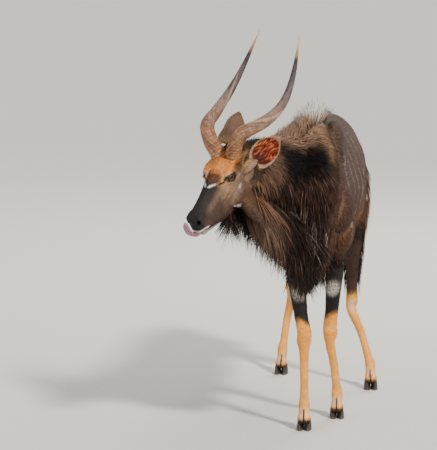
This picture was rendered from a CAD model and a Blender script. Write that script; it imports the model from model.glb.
"""Looks of a life-size standing nyala bull: skin, coat, horns, ears, eyes, tongue and hooves.

Sizes are in metres. The animal faces -Y, its left side is +X and it stands on z = 0. Tables of the
body are written in the animal's own frame, which the CAD frame holds moved by a small step.
"""

import logging
import math
from dataclasses import dataclass, field
from enum import Enum
from typing import Callable, Optional, Sequence

import bmesh
import bpy
import numpy as np
from mathutils import Matrix, Vector
from mathutils.bvhtree import BVHTree


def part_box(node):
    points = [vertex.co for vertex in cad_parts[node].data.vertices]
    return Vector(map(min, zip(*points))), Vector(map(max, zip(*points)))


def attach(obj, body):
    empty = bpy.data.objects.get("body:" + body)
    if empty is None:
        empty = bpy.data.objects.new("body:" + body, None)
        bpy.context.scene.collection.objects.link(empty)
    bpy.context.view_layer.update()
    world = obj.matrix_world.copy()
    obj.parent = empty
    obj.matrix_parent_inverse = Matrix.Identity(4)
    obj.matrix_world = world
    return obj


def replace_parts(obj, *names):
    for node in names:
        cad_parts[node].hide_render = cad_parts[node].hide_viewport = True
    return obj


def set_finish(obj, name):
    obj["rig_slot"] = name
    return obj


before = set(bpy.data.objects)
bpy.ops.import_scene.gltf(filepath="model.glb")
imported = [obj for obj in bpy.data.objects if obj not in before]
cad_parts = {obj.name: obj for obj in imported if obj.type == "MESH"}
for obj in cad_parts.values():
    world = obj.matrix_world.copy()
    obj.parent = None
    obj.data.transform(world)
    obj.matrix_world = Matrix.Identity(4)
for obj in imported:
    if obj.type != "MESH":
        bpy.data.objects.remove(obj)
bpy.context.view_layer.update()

LOG = logging.getLogger("nyala")
Rings = list[list[Vector]]
Colour = tuple[float, float, float]
Socket = bpy.types.NodeSocket


def linear(red: int, green: int, blue: int) -> Colour:
    """Linear colour of an everyday 0 to 255 one."""
    return tuple((((c / 255 + 0.055) / 1.055) ** 2.4) for c in (red, green, blue))


def step(low: float, high: float, value: np.ndarray) -> np.ndarray:
    """Smooth rise from 0 at low to 1 at high."""
    t = np.clip((value - low) / (high - low), 0.0, 1.0)
    return t * t * (3 - 2 * t)


def unit(vectors: np.ndarray) -> np.ndarray:
    """Rows scaled to length one."""
    return vectors / np.maximum(np.linalg.norm(vectors, axis=-1, keepdims=True), 1e-9)


def beyond(points: np.ndarray, place: Sequence[float], way: Sequence[float]) -> np.ndarray:
    """Distance of each point beyond a plane through a place, along its way."""
    return (points - np.array(place)) @ unit(np.array([way]))[0]


def new_piece(name: str, bm: bmesh.types.BMesh, smooth: bool = True) -> bpy.types.Object:
    """Makes an object of a bmesh and frees it.

    Args:
        name: name of the object and its mesh.
        bm: the shape, in the CAD frame.
        smooth: whether its faces are shaded smooth.

    Returns:
        The new object, at the origin.
    """
    bmesh.ops.recalc_face_normals(bm, faces=bm.faces[:])
    mesh = bpy.data.meshes.new(name)
    bm.to_mesh(mesh)
    bm.free()
    mesh.polygons.foreach_set("use_smooth", [smooth] * len(mesh.polygons))
    obj = bpy.data.objects.new(name, mesh)
    bpy.context.scene.collection.objects.link(obj)
    return obj


def applied(obj: bpy.types.Object) -> bpy.types.Object:
    """Applies all modifiers of an object to its mesh and returns it."""
    graph = bpy.context.evaluated_depsgraph_get()
    mesh = bpy.data.meshes.new_from_object(obj.evaluated_get(graph))
    obj.modifiers.clear()
    obj.data = mesh
    mesh.name = obj.name
    return obj


def sleeve(rings: Rings) -> bmesh.types.BMesh:
    """Bends a capped cylinder into a closed skin through rings of as many points each.

    The share of the way along and round is stored on each vertex as row and turn.

    Args:
        rings: the rings from one end to the other.

    Returns:
        The shape as a bmesh.
    """
    sides = len(rings[0])
    spans = len(rings) - 1
    bm = bmesh.new()
    bmesh.ops.create_cone(bm, cap_ends=True, cap_tris=False, segments=sides, radius1=1.0, radius2=1.0,
                          depth=2.0)
    upright = [edge for edge in bm.edges if abs(edge.verts[0].co.z - edge.verts[1].co.z) > 1]
    if spans > 1:
        bmesh.ops.subdivide_edges(bm, edges=upright, cuts=spans - 1)
    row_layer = bm.verts.layers.float.new("row")
    turn_layer = bm.verts.layers.float.new("turn")
    for vertex in bm.verts:
        row = round((vertex.co.z + 1) / 2 * spans)
        turn = round(math.atan2(-vertex.co.x, vertex.co.y) / (2 * math.pi) * sides) % sides
        vertex[row_layer] = row / spans
        vertex[turn_layer] = turn / sides
        vertex.co = rings[row][turn]
    return bm


def refined(stations: Sequence[Sequence[float]], steps: int) -> np.ndarray:
    """Smooth stations through the given ones.

    Args:
        stations: rows of as many numbers each.
        steps: new stations for each given one.

    Returns:
        The finer rows.
    """
    rows = np.array([stations[0], *stations, stations[-1]], float)
    fine = []
    for i in range(1, len(rows) - 2):
        before, start, end, after = rows[i - 1:i + 3]
        for k in range(steps):
            t = k / steps
            curve = (2 * before - 5 * start + 4 * end - after) * t * t
            bend = (3 * start - before - 3 * end + after) * t ** 3
            fine.append(0.5 * (2 * start + (end - before) * t + curve + bend))
    return np.array(fine + [rows[-1]])


@dataclass(frozen=True)
class Tube:
    """A limb or trunk: stations of centre, half width, rise, drop, and top and bottom fullness."""

    stations: Sequence[Sequence[float]]
    across: tuple[float, float, float]
    sides: int = 28
    steps: int = 4
    squareness: float = 0.90

    def rings(self) -> Rings:
        """Rings of points from the first station to the last."""
        fine = refined(self.stations, self.steps)
        places = [Vector(row[:3]) for row in fine]
        rings = []
        for i, row in enumerate(fine):
            travel = (places[min(i + 1, len(places) - 1)] - places[max(i - 1, 0)]).normalized()
            level = Vector(self.across)
            side = (level - travel * level.dot(travel)).normalized()
            up = side.cross(travel)
            ring = []
            for k in range(self.sides):
                angle = 2 * math.pi * k / self.sides
                c = math.copysign(abs(math.cos(angle)) ** self.squareness, math.cos(angle))
                s = math.copysign(abs(math.sin(angle)) ** self.squareness, math.sin(angle))
                full = 1 + (row[6] - 1) * max(s, 0) + (row[7] - 1) * max(-s, 0)
                rise = row[4] if s > 0 else row[5]
                ring.append(places[i] + side * (row[3] * c * full) + up * (rise * s))
            rings.append(ring)
        return rings

    def build(self, name: str) -> bpy.types.Object:
        """The tube as an object in the animal's frame."""
        return new_piece(name, sleeve(self.rings()))


def ball(segments: int, rings: int) -> bmesh.types.BMesh:
    """A sphere of radius 1, with its edges and faces in the same order on each run."""
    bm = bmesh.new()
    bmesh.ops.create_uvsphere(bm, u_segments=segments, v_segments=rings, radius=1.0)
    bm.verts.index_update()
    count = len(bm.verts)

    def rank(edge: bmesh.types.BMEdge) -> float:
        """Place of an edge in the order, from the numbers of its ends."""
        low, high = sorted(vertex.index for vertex in edge.verts)
        return low * count + high

    bm.edges.sort(key=rank)
    bm.faces.sort(key=lambda face: face.verts[0].index * count + face.verts[1].index)
    return bm


def ellipsoid(name: str, centre: Vector, radii: Sequence[float], axes: Matrix = Matrix.Identity(3),
              segments: int = 32, rings: int = 20) -> bpy.types.Object:
    """A smooth lump of flesh.

    Args:
        name: name of the object.
        centre: its middle.
        radii: half sizes along the columns of axes.
        axes: turn of the lump.
        segments: faces round it.
        rings: faces from pole to pole.

    Returns:
        The new object.
    """
    bm = ball(segments, rings)
    shape = axes.to_4x4() @ Matrix.Diagonal((*radii, 1.0))
    bmesh.ops.transform(bm, matrix=Matrix.Translation(centre) @ shape, verts=bm.verts[:])
    return new_piece(name, bm)


def merged(name: str, pieces: Sequence[bpy.types.Object]) -> bpy.types.Object:
    """Puts several meshes into one object and removes them."""
    bm = bmesh.new()
    for piece in pieces:
        bm.from_mesh(piece.data)
        bpy.data.objects.remove(piece)
    return new_piece(name, bm)


def cut(obj: bpy.types.Object, tools: Sequence[bpy.types.Object]) -> bpy.types.Object:
    """Cuts closed meshes out of an object and removes them."""
    for tool in tools:
        modifier = obj.modifiers.new("Cut", "BOOLEAN")
        modifier.operation = "DIFFERENCE"
        modifier.solver = "MANIFOLD"
        modifier.object = tool
    applied(obj)
    for tool in tools:
        bpy.data.objects.remove(tool)
    return obj


@dataclass(frozen=True)
class HeadFrame:
    """Place and turn of the head: columns of axes are left, towards the nose, and out of the face."""

    origin: Vector = field(default_factory=lambda: Vector((-0.267, -0.366, 0.966)))
    turn: float = math.radians(36.0)
    drop: float = math.radians(48.6)
    roll: float = math.radians(-7.6)

    @property
    def axes(self) -> Matrix:
        """Turn of the head as a matrix."""
        ahead = Vector((-math.sin(self.turn), -math.cos(self.turn), 0))
        left = Vector((math.cos(self.turn), -math.sin(self.turn), 0))
        nose = ahead * math.cos(self.drop) - Vector((0, 0, math.sin(self.drop)))
        out = nose.cross(left)
        level = left * math.cos(self.roll) + out * math.sin(self.roll)
        proud = out * math.cos(self.roll) - left * math.sin(self.roll)
        return Matrix((level, nose, proud)).transposed()

    def place(self, left: float, nose: float, out: float) -> Vector:
        """Point of the animal's frame at a place of the head."""
        return self.origin + self.axes @ Vector((left, nose, out))

    def local(self, points: np.ndarray) -> np.ndarray:
        """Rows of left, nose and out for rows of points in the animal's frame."""
        return (points - np.array(self.origin)) @ np.array(self.axes)

    def lip(self, nose: np.ndarray) -> np.ndarray:
        """Height of the mouth line at distances towards the nose."""
        return -0.076 + 0.58 * np.minimum(nose - 0.252, 0.0)


@dataclass(frozen=True)
class EyePlan:
    """Sizes that the eyeball, its socket and its lids share, in the head's frame."""

    place: tuple[float, float, float] = (0.0362, 0.070, -0.0363)
    radius: float = 0.0185
    lid: float = 0.0026
    gaze: tuple[float, float, float] = (0.91, 0.16, 0.37)
    slit: tuple[float, float, float] = (-0.34, 0.81, 0.48)
    half_width: float = 0.0165
    half_height: float = 0.0084
    depth: float = 0.0150

    def centre(self, head: HeadFrame, side: int) -> Vector:
        """Middle of the eyeball of one side, 1 for left and -1 for right."""
        return head.place(self.place[0] * side, self.place[1], self.place[2])

    def axes(self, head: HeadFrame, side: int) -> Matrix:
        """Columns along the slit towards the nose, up across the lids, and out along the gaze."""
        look = Vector((self.gaze[0] * side, self.gaze[1], self.gaze[2])).normalized()
        slit = Vector((self.slit[0] * side, self.slit[1], self.slit[2]))
        slit = (slit - look * slit.dot(look)).normalized()
        return head.axes @ Matrix((slit, look.cross(slit) * side, look)).transposed()

    def around(self, head: HeadFrame, side: int, points: np.ndarray) -> np.ndarray:
        """Rows along the slit, across the lids and out, from the middle of the eyeball."""
        return (points - np.array(self.centre(head, side))) @ np.array(self.axes(head, side))

    def ring(self, around: np.ndarray) -> np.ndarray:
        """Rings round the opening of the lids, 1 on its edge."""
        return np.hypot(around[:, 0] / self.half_width, around[:, 1] / self.half_height)


# Planes that part the head from the neck and the neck from the trunk: a place and the way ahead.
COLLAR = ((-0.222, -0.300, 0.912), (-0.64, -0.74, -0.20))
NECK_ROOT = ((-0.020, -0.125, 0.850), (-0.30, -0.85, 0.43))
HEAD = HeadFrame()
EYE = EyePlan()
EYE_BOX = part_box("eye_left")
SHIFT = (EYE_BOX[0] + EYE_BOX[1]) / 2 - EYE.centre(HEAD, 1)
SHIFT.z = 0.0


def corners(mesh: bpy.types.Mesh, what: str = "co") -> np.ndarray:
    """Places of a mesh's vertices, or their normals, as rows."""
    rows = np.empty(len(mesh.vertices) * 3)
    mesh.vertices.foreach_get(what, rows)
    return rows.reshape(-1, 3)


def weigh(obj: bpy.types.Object, name: str, weights: np.ndarray, levels: int = 8) -> None:
    """Stores weights, rounded to a few levels, as a vertex group."""
    group = obj.vertex_groups.new(name=name)
    rounded = np.round(weights * levels) / levels
    for level in np.unique(rounded):
        group.add(np.flatnonzero(rounded == level).tolist(), float(level), "REPLACE")


def smoothed(obj: bpy.types.Object, group: str, iterations: int) -> None:
    """Adds smoothing of a vertex group, still to be applied."""
    modifier = obj.modifiers.new("Smooth", "SMOOTH")
    modifier.iterations = iterations
    modifier.vertex_group = group


def settle(obj: bpy.types.Object) -> bpy.types.Object:
    """Moves a mesh from the animal's frame to the CAD frame."""
    obj.data.transform(Matrix.Translation(SHIFT))
    return obj


@dataclass(frozen=True)
class LegPlan:
    """One leg from its hoof and its knee or hock."""

    name: str
    hoof: tuple[float, float, float]
    turn: float
    joint: tuple[float, float, float]
    hock_row: int = 6
    fetlock_row: int = 10

    @property
    def side(self) -> int:
        """1 for a left leg, -1 for a right one."""
        return 1 if self.name.endswith("left") else -1

    @property
    def front(self) -> bool:
        """Whether this is a foreleg."""
        return self.name.startswith("fore")

    def stations(self) -> list[tuple[float, ...]]:
        """Stations from the body down to the hoof."""
        side = self.side
        hoof = Vector(self.hoof)
        joint = Vector(self.joint)
        if self.front:
            shoulder = Vector((0.080 * side, -0.030 + 0.15 * joint.y, 0.740))
            elbow = Vector((0.068 * side, 0.020 + 0.40 * joint.y, 0.580))
            middle = elbow.lerp(joint, 0.33)
            lower = elbow.lerp(joint, 0.70)
            fetlock = Vector((hoof.x, hoof.y + 0.004, 0.088))
            shin = joint.lerp(fetlock, 0.5)
            rows = [
                (*shoulder, 0.046, 0.070, 0.062),
                (0.5 * (shoulder.x + elbow.x), elbow.y - 0.012, 0.660, 0.044, 0.062, 0.056),
                (*elbow, 0.038, 0.046, 0.050),
                (*middle, 0.0310, 0.037, 0.037),
                (*lower, 0.0240, 0.026, 0.026),
                (joint.x, joint.y - 0.002, joint.z + 0.032, 0.0250, 0.026, 0.024),
                (*joint, 0.0258, 0.027, 0.025),
                (joint.x, joint.y + 0.001, joint.z - 0.038, 0.0180, 0.019, 0.020),
                (*shin, 0.0155, 0.016, 0.018),
                (*joint.lerp(fetlock, 0.85), 0.0155, 0.016, 0.019),
                (*fetlock, 0.0200, 0.020, 0.023),
                (hoof.x, hoof.y - 0.002, 0.060, 0.0190, 0.018, 0.020),
                (hoof.x, hoof.y - 0.005, 0.040, 0.0235, 0.025, 0.024),
                (hoof.x, hoof.y - 0.006, 0.022, 0.0205, 0.024, 0.022),
            ]
        else:
            reach = joint.y - 0.870
            fetlock = Vector((hoof.x - 0.004 * side, hoof.y + 0.020, 0.092))
            shin = joint.lerp(fetlock, 0.5)
            rows = [
                (0.088 * side, 0.765, 0.800, 0.064, 0.110, 0.120),
                (0.098 * side, 0.738 + 0.12 * reach, 0.700, 0.062, 0.098, 0.112),
                (0.103 * side, 0.740 + 0.32 * reach, 0.610, 0.050, 0.070, 0.086),
                (0.097 * side, 0.788 + 0.56 * reach, 0.500, 0.035, 0.048, 0.052),
                (0.5 * (0.097 * side + joint.x), 0.846 + 0.82 * reach, 0.400, 0.0240, 0.030, 0.034),
                (joint.x, joint.y - 0.008, joint.z + 0.036, 0.0220, 0.028, 0.034),
                (*joint, 0.0235, 0.027, 0.031),
                (joint.x, joint.y - 0.004, joint.z - 0.036, 0.0195, 0.022, 0.023),
                (*shin, 0.0160, 0.0175, 0.0185),
                (*joint.lerp(fetlock, 0.86), 0.0160, 0.017, 0.019),
                (*fetlock, 0.0200, 0.021, 0.023),
                (hoof.x - 0.002 * side, hoof.y + 0.006, 0.062, 0.0190, 0.018, 0.020),
                (hoof.x, hoof.y - 0.001, 0.040, 0.0235, 0.025, 0.024),
                (hoof.x, hoof.y - 0.002, 0.022, 0.0205, 0.024, 0.022),
            ]
        return [(*row, 1.0, 1.0) for row in rows]

    def flesh(self) -> list[bpy.types.Object]:
        """The leg with its dew claws, and the point of the hock on a hind leg."""
        stations = self.stations()
        pieces = [Tube(stations, (-1, 0, 0), sides=20).build(self.name)]
        fetlock = Vector(stations[self.fetlock_row][:3])
        for side in (1, -1):
            place = fetlock + Vector((0.011 * side, 0.021, -0.010))
            pieces.append(ellipsoid("dew_claw", place, (0.007, 0.009, 0.012)))
        if not self.front:
            hock = Vector(stations[self.hock_row][:3])
            pieces.append(ellipsoid("hock", hock + Vector((0, 0.024, 0.030)), (0.014, 0.016, 0.034)))
        return pieces


LEGS = (
    LegPlan("foreleg_right", (-0.030, -0.030, 0.0), -2.0, (-0.030, -0.044, 0.302)),
    LegPlan("foreleg_left", (0.070, 0.178, 0.0), 4.0, (0.047, 0.150, 0.298)),
    LegPlan("hindleg_right", (-0.172, 0.975, 0.0), -5.0, (-0.138, 1.050, 0.310)),
    LegPlan("hindleg_left", (0.168, 0.705, 0.0), 6.0, (0.094, 0.815, 0.305)),
)


@dataclass
class Flesh:
    """The whole body under its coat, as one skin with the eyes, nostrils and mouth cut in."""

    head: HeadFrame = HEAD
    eye: EyePlan = EYE
    voxel: float = 0.0030
    limit: int = 184000
    soft_passes: int = 12
    crease_passes: int = 36
    # Head stations: distance towards the nose, height, half width, rise, drop, top and bottom fullness.
    skull: Sequence[Sequence[float]] = (
        (-0.078, -0.080, 0.032, 0.030, 0.034, 1.0, 1.0),
        (-0.058, -0.078, 0.053, 0.052, 0.060, 0.92, 0.90),
        (-0.028, -0.072, 0.058, 0.064, 0.080, 0.90, 0.84),
        (0.010, -0.064, 0.058, 0.061, 0.094, 0.88, 0.80),
        (0.045, -0.060, 0.056, 0.058, 0.110, 0.84, 0.80),
        (0.080, -0.058, 0.052, 0.055, 0.124, 0.80, 0.80),
        (0.112, -0.060, 0.047, 0.056, 0.120, 0.74, 0.80),
        (0.145, -0.061, 0.041, 0.056, 0.104, 0.74, 0.80),
        (0.178, -0.060, 0.036, 0.053, 0.086, 0.80, 0.84),
        (0.210, -0.058, 0.034, 0.049, 0.068, 0.90, 0.86),
        (0.237, -0.054, 0.0315, 0.043, 0.054, 1.00, 0.86),
        (0.255, -0.052, 0.0265, 0.036, 0.038, 1.00, 0.88),
        (0.266, -0.050, 0.0160, 0.024, 0.022, 1.00, 0.90),
    )
    # Neck stations: centre, half width, rise, drop, top and bottom fullness.
    neck: Sequence[Sequence[float]] = (
        (0.010, 0.060, 0.820, 0.110, 0.190, 0.170, 0.75, 0.85),
        (-0.020, -0.070, 0.850, 0.100, 0.165, 0.170, 0.72, 0.85),
        (-0.078, -0.165, 0.880, 0.085, 0.125, 0.140, 0.75, 0.85),
        (-0.140, -0.228, 0.900, 0.075, 0.098, 0.112, 0.80, 0.88),
        (-0.192, -0.276, 0.914, 0.068, 0.084, 0.096, 0.86, 0.90),
        (-0.232, -0.318, 0.918, 0.048, 0.052, 0.064, 0.90, 0.90),
    )
    # Trunk stations: y, height of the widest line, half width, rise, drop, top and bottom fullness.
    trunk: Sequence[Sequence[float]] = (
        (-0.235, 0.790, 0.050, 0.060, 0.070, 0.90, 0.90),
        (-0.190, 0.790, 0.088, 0.150, 0.140, 0.80, 0.85),
        (-0.120, 0.790, 0.114, 0.215, 0.195, 0.72, 0.80),
        (-0.020, 0.800, 0.130, 0.245, 0.230, 0.62, 0.80),
        (0.110, 0.790, 0.142, 0.252, 0.235, 0.66, 0.82),
        (0.280, 0.780, 0.158, 0.240, 0.222, 0.78, 0.84),
        (0.450, 0.785, 0.163, 0.227, 0.205, 0.86, 0.84),
        (0.610, 0.795, 0.152, 0.215, 0.165, 0.88, 0.84),
        (0.760, 0.805, 0.140, 0.190, 0.120, 0.88, 0.84),
        (0.880, 0.810, 0.112, 0.155, 0.090, 0.84, 0.84),
        (0.950, 0.820, 0.060, 0.100, 0.055, 0.90, 0.90),
    )
    # Tail: centre, half width and half depth of the bone with its short hair.
    tail: Sequence[Sequence[float]] = (
        (0.000, 0.900, 0.918, 0.022, 0.020),
        (0.000, 0.962, 0.922, 0.021, 0.018),
        (0.001, 1.000, 0.890, 0.019, 0.016),
        (0.003, 1.018, 0.830, 0.017, 0.015),
        (0.006, 1.022, 0.750, 0.015, 0.013),
        (0.010, 1.020, 0.670, 0.012, 0.010),
        (0.013, 1.016, 0.610, 0.008, 0.007),
    )
    # Line that the throat, chest and belly hair grows from: place, half width, reach of the core.
    fringe: Sequence[Sequence[float]] = (
        (-0.236, -0.308, 0.862, 0.028, 0.020),
        (-0.198, -0.283, 0.815, 0.045, 0.050),
        (-0.150, -0.260, 0.765, 0.050, 0.060),
        (-0.096, -0.242, 0.712, 0.048, 0.050),
        (-0.046, -0.218, 0.658, 0.042, 0.040),
        (-0.012, -0.160, 0.615, 0.030, 0.030),
        (0.000, -0.070, 0.590, 0.018, 0.020),
        (0.000, 0.220, 0.580, 0.020, 0.020),
        (0.000, 0.560, 0.620, 0.020, 0.020),
        (0.000, 0.680, 0.670, 0.018, 0.010),
    )

    def head_pieces(self) -> list[bpy.types.Object]:
        """Skull, jaw, muzzle, brows, cheeks and lids."""
        rows = [(*self.head.place(0, row[0], row[1]), *row[2:]) for row in self.skull]
        left = self.head.axes.col[0]
        pieces = [Tube(rows, tuple(-left), sides=48, steps=6).build("skull")]
        for side in (1, -1):
            lumps = (
                ((0.039 * side, 0.056, -0.018), (0.015, 0.032, 0.012)),
                ((0.037 * side, 0.071, -0.034), (0.020, 0.029, 0.022)),
                ((0.033 * side, 0.062, -0.120), (0.023, 0.058, 0.052)),
                ((0.036 * side, 0.106, -0.058), (0.014, 0.045, 0.012)),
                ((0.032 * side, 0.004, -0.017), (0.028, 0.032, 0.019)),
                ((0.054 * side, -0.014, -0.062), (0.021, 0.024, 0.024)),
                ((0.017 * side, 0.236, -0.031), (0.015, 0.028, 0.015)),
                ((0.015 * side, 0.236, -0.062), (0.0165, 0.028, 0.017)),
            )
            for place, radii in lumps:
                pieces.append(ellipsoid("lump", self.head.place(*place), radii, self.head.axes))
            lid = self.eye.radius + self.eye.lid
            pieces.append(ellipsoid("lids", self.eye.centre(self.head, side), (lid,) * 3, self.head.axes))
        for place, radii in (((0, 0.034, -0.020), (0.045, 0.055, 0.022)),
                             ((0, 0.234, -0.098), (0.019, 0.026, 0.014)),
                             ((0, 0.242, -0.032), (0.018, 0.023, 0.015))):
            pieces.append(ellipsoid("lump", self.head.place(*place), radii, self.head.axes))
        return pieces

    def trunk_pieces(self) -> list[bpy.types.Object]:
        """Neck, rib cage, muscles of shoulder and haunch, tail and the core of the fringe."""
        ribs = [(0.0, *row) for row in self.trunk]
        tail = [(*row[:3], row[3] - 0.004, row[4] - 0.004, row[4] - 0.004, 1.0, 1.0) for row in self.tail]
        hair = [(*row[:4], 0.03, 0.03 + row[4], 0.9, 0.35) for row in self.fringe]
        pieces = [
            Tube(self.neck, (-1, 0, 0), sides=40, steps=6).build("neck"),
            Tube(ribs, (1, 0, 0), sides=48, steps=6).build("ribs"),
            Tube(tail, (1, 0, 0), sides=20).build("tail"),
            Tube(hair, (1, 0, 0), sides=24).build("fringe"),
        ]
        for side in (1, -1):
            lumps = (
                ((0.062 * side, 0.000, 0.875), (0.052, 0.105, 0.165)),
                ((0.088 * side, -0.085, 0.755), (0.052, 0.085, 0.090)),
                ((0.092 * side, 0.000, 0.680), (0.048, 0.080, 0.090)),
                ((0.050 * side, 0.760, 0.868), (0.066, 0.200, 0.098)),
                ((0.084 * side, 0.800, 0.775), (0.064, 0.140, 0.135)),
                ((0.098 * side, 0.640, 0.720), (0.050, 0.100, 0.100)),
            )
            for place, radii in lumps:
                pieces.append(ellipsoid("lump", Vector(place), radii))
        return pieces

    def sockets(self) -> list[bpy.types.Object]:
        """Cutters that open the lids and the nostrils."""
        tools = []
        for side in (1, -1):
            axes = self.eye.axes(self.head, side)
            centre = self.eye.centre(self.head, side)
            opening = centre + axes.col[2] * self.eye.radius
            radii = (self.eye.half_width, self.eye.half_height, self.eye.depth)
            tools.append(ellipsoid("opening", opening, radii, axes, 48, 32))
            tools.append(ellipsoid("socket", centre, (self.eye.radius + 0.0004,) * 3, axes, 48, 32))
            roll = Matrix.Rotation(math.radians(28 * side), 3, "Y")
            yaw = Matrix.Rotation(math.radians(-24 * side), 3, "Z")
            place = self.head.place(0.0225 * side, 0.257, -0.030)
            slant = self.head.axes @ (roll @ yaw)
            tools.append(ellipsoid("nostril", place, (0.0062, 0.0160, 0.0090), slant))
        return tools

    def coat_depth(self, points: np.ndarray) -> np.ndarray:
        """How far the skin lies under the outer face of the coat, for rows in the animal's frame."""
        rows = self.head.local(points)
        face = step(-0.03, 0.08, rows[:, 1])
        leg = step(0.58, 0.50, points[:, 2])
        return 0.0075 - 0.0060 * face - 0.0052 * leg * (1 - face)

    def sculpt(self, points: np.ndarray) -> np.ndarray:
        """Folds of the lids, the mouth line, nose and muscles, as moves along the normals.

        Args:
            points: rows in the animal's frame.

        Returns:
            Heights, outwards positive.
        """
        rows = self.head.local(points)
        left, nose, out = np.abs(rows[:, 0]), rows[:, 1], rows[:, 2]
        height = np.zeros(len(points))
        for side in (1, -1):
            around = self.eye.around(self.head, side, points)
            wide = around[:, 0] / self.eye.half_width
            tall = around[:, 1] / self.eye.half_height
            near = step(0.030, 0.014, np.linalg.norm(around, axis=1) - self.eye.radius)
            near *= step(0.0, 0.006, around[:, 2])
            ring = np.sqrt(wide ** 2 + tall ** 2)
            upper = step(-0.2, 0.5, tall)
            height += near * 0.0016 * np.exp(-((ring - 1.45) / 0.30) ** 2)
            height -= near * upper * 0.0018 * np.exp(-((ring - 2.15) / 0.26) ** 2)
            height += near * upper * 0.0014 * np.exp(-((ring - 2.8) / 0.35) ** 2)
            height -= near * (1 - upper) * 0.0012 * np.exp(-((ring - 2.3) / 0.35) ** 2)
            duct = np.exp(-((around[:, 1] + 0.002 + 0.10 * (around[:, 0] - 0.016)) / 0.0022) ** 2)
            near_duct = step(0.013, 0.018, around[:, 0]) * step(0.046, 0.030, around[:, 0])
            duct *= near_duct * step(-0.01, 0.004, around[:, 2])
            height -= 0.0016 * duct
        lip = self.head.lip(nose)
        mouth = np.exp(-((out - lip) / 0.0022) ** 2) * step(0.198, 0.212, nose)
        height -= 0.0042 * mouth
        height += 0.0016 * np.exp(-((out - lip - 0.007) / 0.0045) ** 2) * step(0.195, 0.215, nose)
        height += 0.0012 * np.exp(-((out - lip + 0.007) / 0.0045) ** 2) * step(0.195, 0.215, nose)
        wing = np.exp(-(((left - 0.0245) / 0.0065) ** 2 + ((nose - 0.252) / 0.010) ** 2
                        + ((out + 0.022) / 0.010) ** 2))
        height += 0.0022 * wing
        groove = np.exp(-(left / 0.0016) ** 2) * step(0.252, 0.262, nose) * step(-0.070, -0.055, out)
        height -= 0.0014 * groove
        ridge = np.exp(-((left - 0.046) / 0.008) ** 2) * np.exp(-((out + 0.078) / 0.014) ** 2)
        height += 0.0022 * ridge * step(0.02, 0.06, nose) * step(0.20, 0.12, nose)
        vein = np.sin(nose * 210 + left * 130) * 0.0004 * step(0.09, 0.13, nose) * step(0.24, 0.20, nose)
        height += vein * step(0.025, 0.04, left)
        body = step(-0.05, 0.02, points[:, 1]) * step(0.52, 0.62, points[:, 2])
        rib = np.sin((points[:, 1] + 0.35 * (points[:, 2] - 0.8)) * 2 * math.pi / 0.062)
        ribs = step(0.12, 0.22, points[:, 1]) * step(0.62, 0.50, points[:, 1])
        ribs *= np.exp(-((points[:, 2] - 0.76) / 0.09) ** 2)
        height += 0.0009 * rib * ribs * body
        flank = np.exp(-(((points[:, 1] - 0.565) / 0.06) ** 2 + ((points[:, 2] - 0.80) / 0.09) ** 2))
        height -= 0.012 * flank
        elbow = np.exp(-(((points[:, 1] - 0.12) / 0.035) ** 2 + ((points[:, 2] - 0.66) / 0.10) ** 2))
        height -= 0.006 * elbow * step(0.05, 0.09, np.abs(points[:, 0]))
        return height

    def build(self) -> bpy.types.Object:
        """Blends the pieces, carves them and thins the mesh where the body is plain.

        Returns:
            The skin, in the CAD frame.
        """
        pieces = self.head_pieces() + self.trunk_pieces()
        for leg in LEGS:
            pieces += leg.flesh()
        skin = merged("skin", pieces)
        remesh = skin.modifiers.new("Blend", "REMESH")
        remesh.mode = "VOXEL"
        remesh.voxel_size = self.voxel
        applied(skin)
        points = corners(skin.data)
        fine = step(-0.06, 0.03, self.head.local(points)[:, 1])
        body = step(0.36, 0.55, points[:, 2]) * (1 - fine)
        weigh(skin, "soft", 0.25 + 0.75 * body)
        smoothed(skin, "soft", self.soft_passes)
        weigh(skin, "creased", step(0.50, 0.62, points[:, 2]) * step(-0.20, -0.08, points[:, 1]))
        smoothed(skin, "creased", self.crease_passes)
        applied(skin)
        cut(skin, self.sockets())
        mesh = skin.data
        points = corners(mesh)
        height = (self.sculpt(points) - self.coat_depth(points)) * (1 - self.inside_socket(points))
        moved = points + corners(mesh, "normal") * height[:, None]
        mesh.vertices.foreach_set("co", moved.ravel())
        mesh.update()
        self.thin(skin, points)
        settle(skin)
        skin.data.polygons.foreach_set("use_smooth", [True] * len(skin.data.polygons))
        return skin

    def inside_socket(self, points: np.ndarray) -> np.ndarray:
        """1 on the walls of the eye sockets, which keep their place, and 0 elsewhere."""
        found = np.zeros(len(points))
        for side in (1, -1):
            away = np.linalg.norm(points - np.array(self.eye.centre(self.head, side)), axis=1)
            found = np.maximum(found, step(self.eye.radius + 0.0030, self.eye.radius + 0.0008, away))
        return found

    def thin(self, skin: bpy.types.Object, points: np.ndarray) -> None:
        """Collapses the plain parts of the body until the skin keeps to its limit of triangles."""
        skin.vertex_groups.clear()
        weigh(skin, "plain", 1 - step(-0.02, 0.05, self.head.local(points)[:, 1]), 4)
        triangles = sum(len(face.vertices) - 2 for face in skin.data.polygons)
        if triangles > self.limit:
            thin = skin.modifiers.new("Thin", "DECIMATE")
            thin.ratio = self.limit / triangles
            thin.vertex_group = "plain"
            thin.vertex_group_factor = 1.0
            applied(skin)
        skin.vertex_groups.clear()


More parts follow.
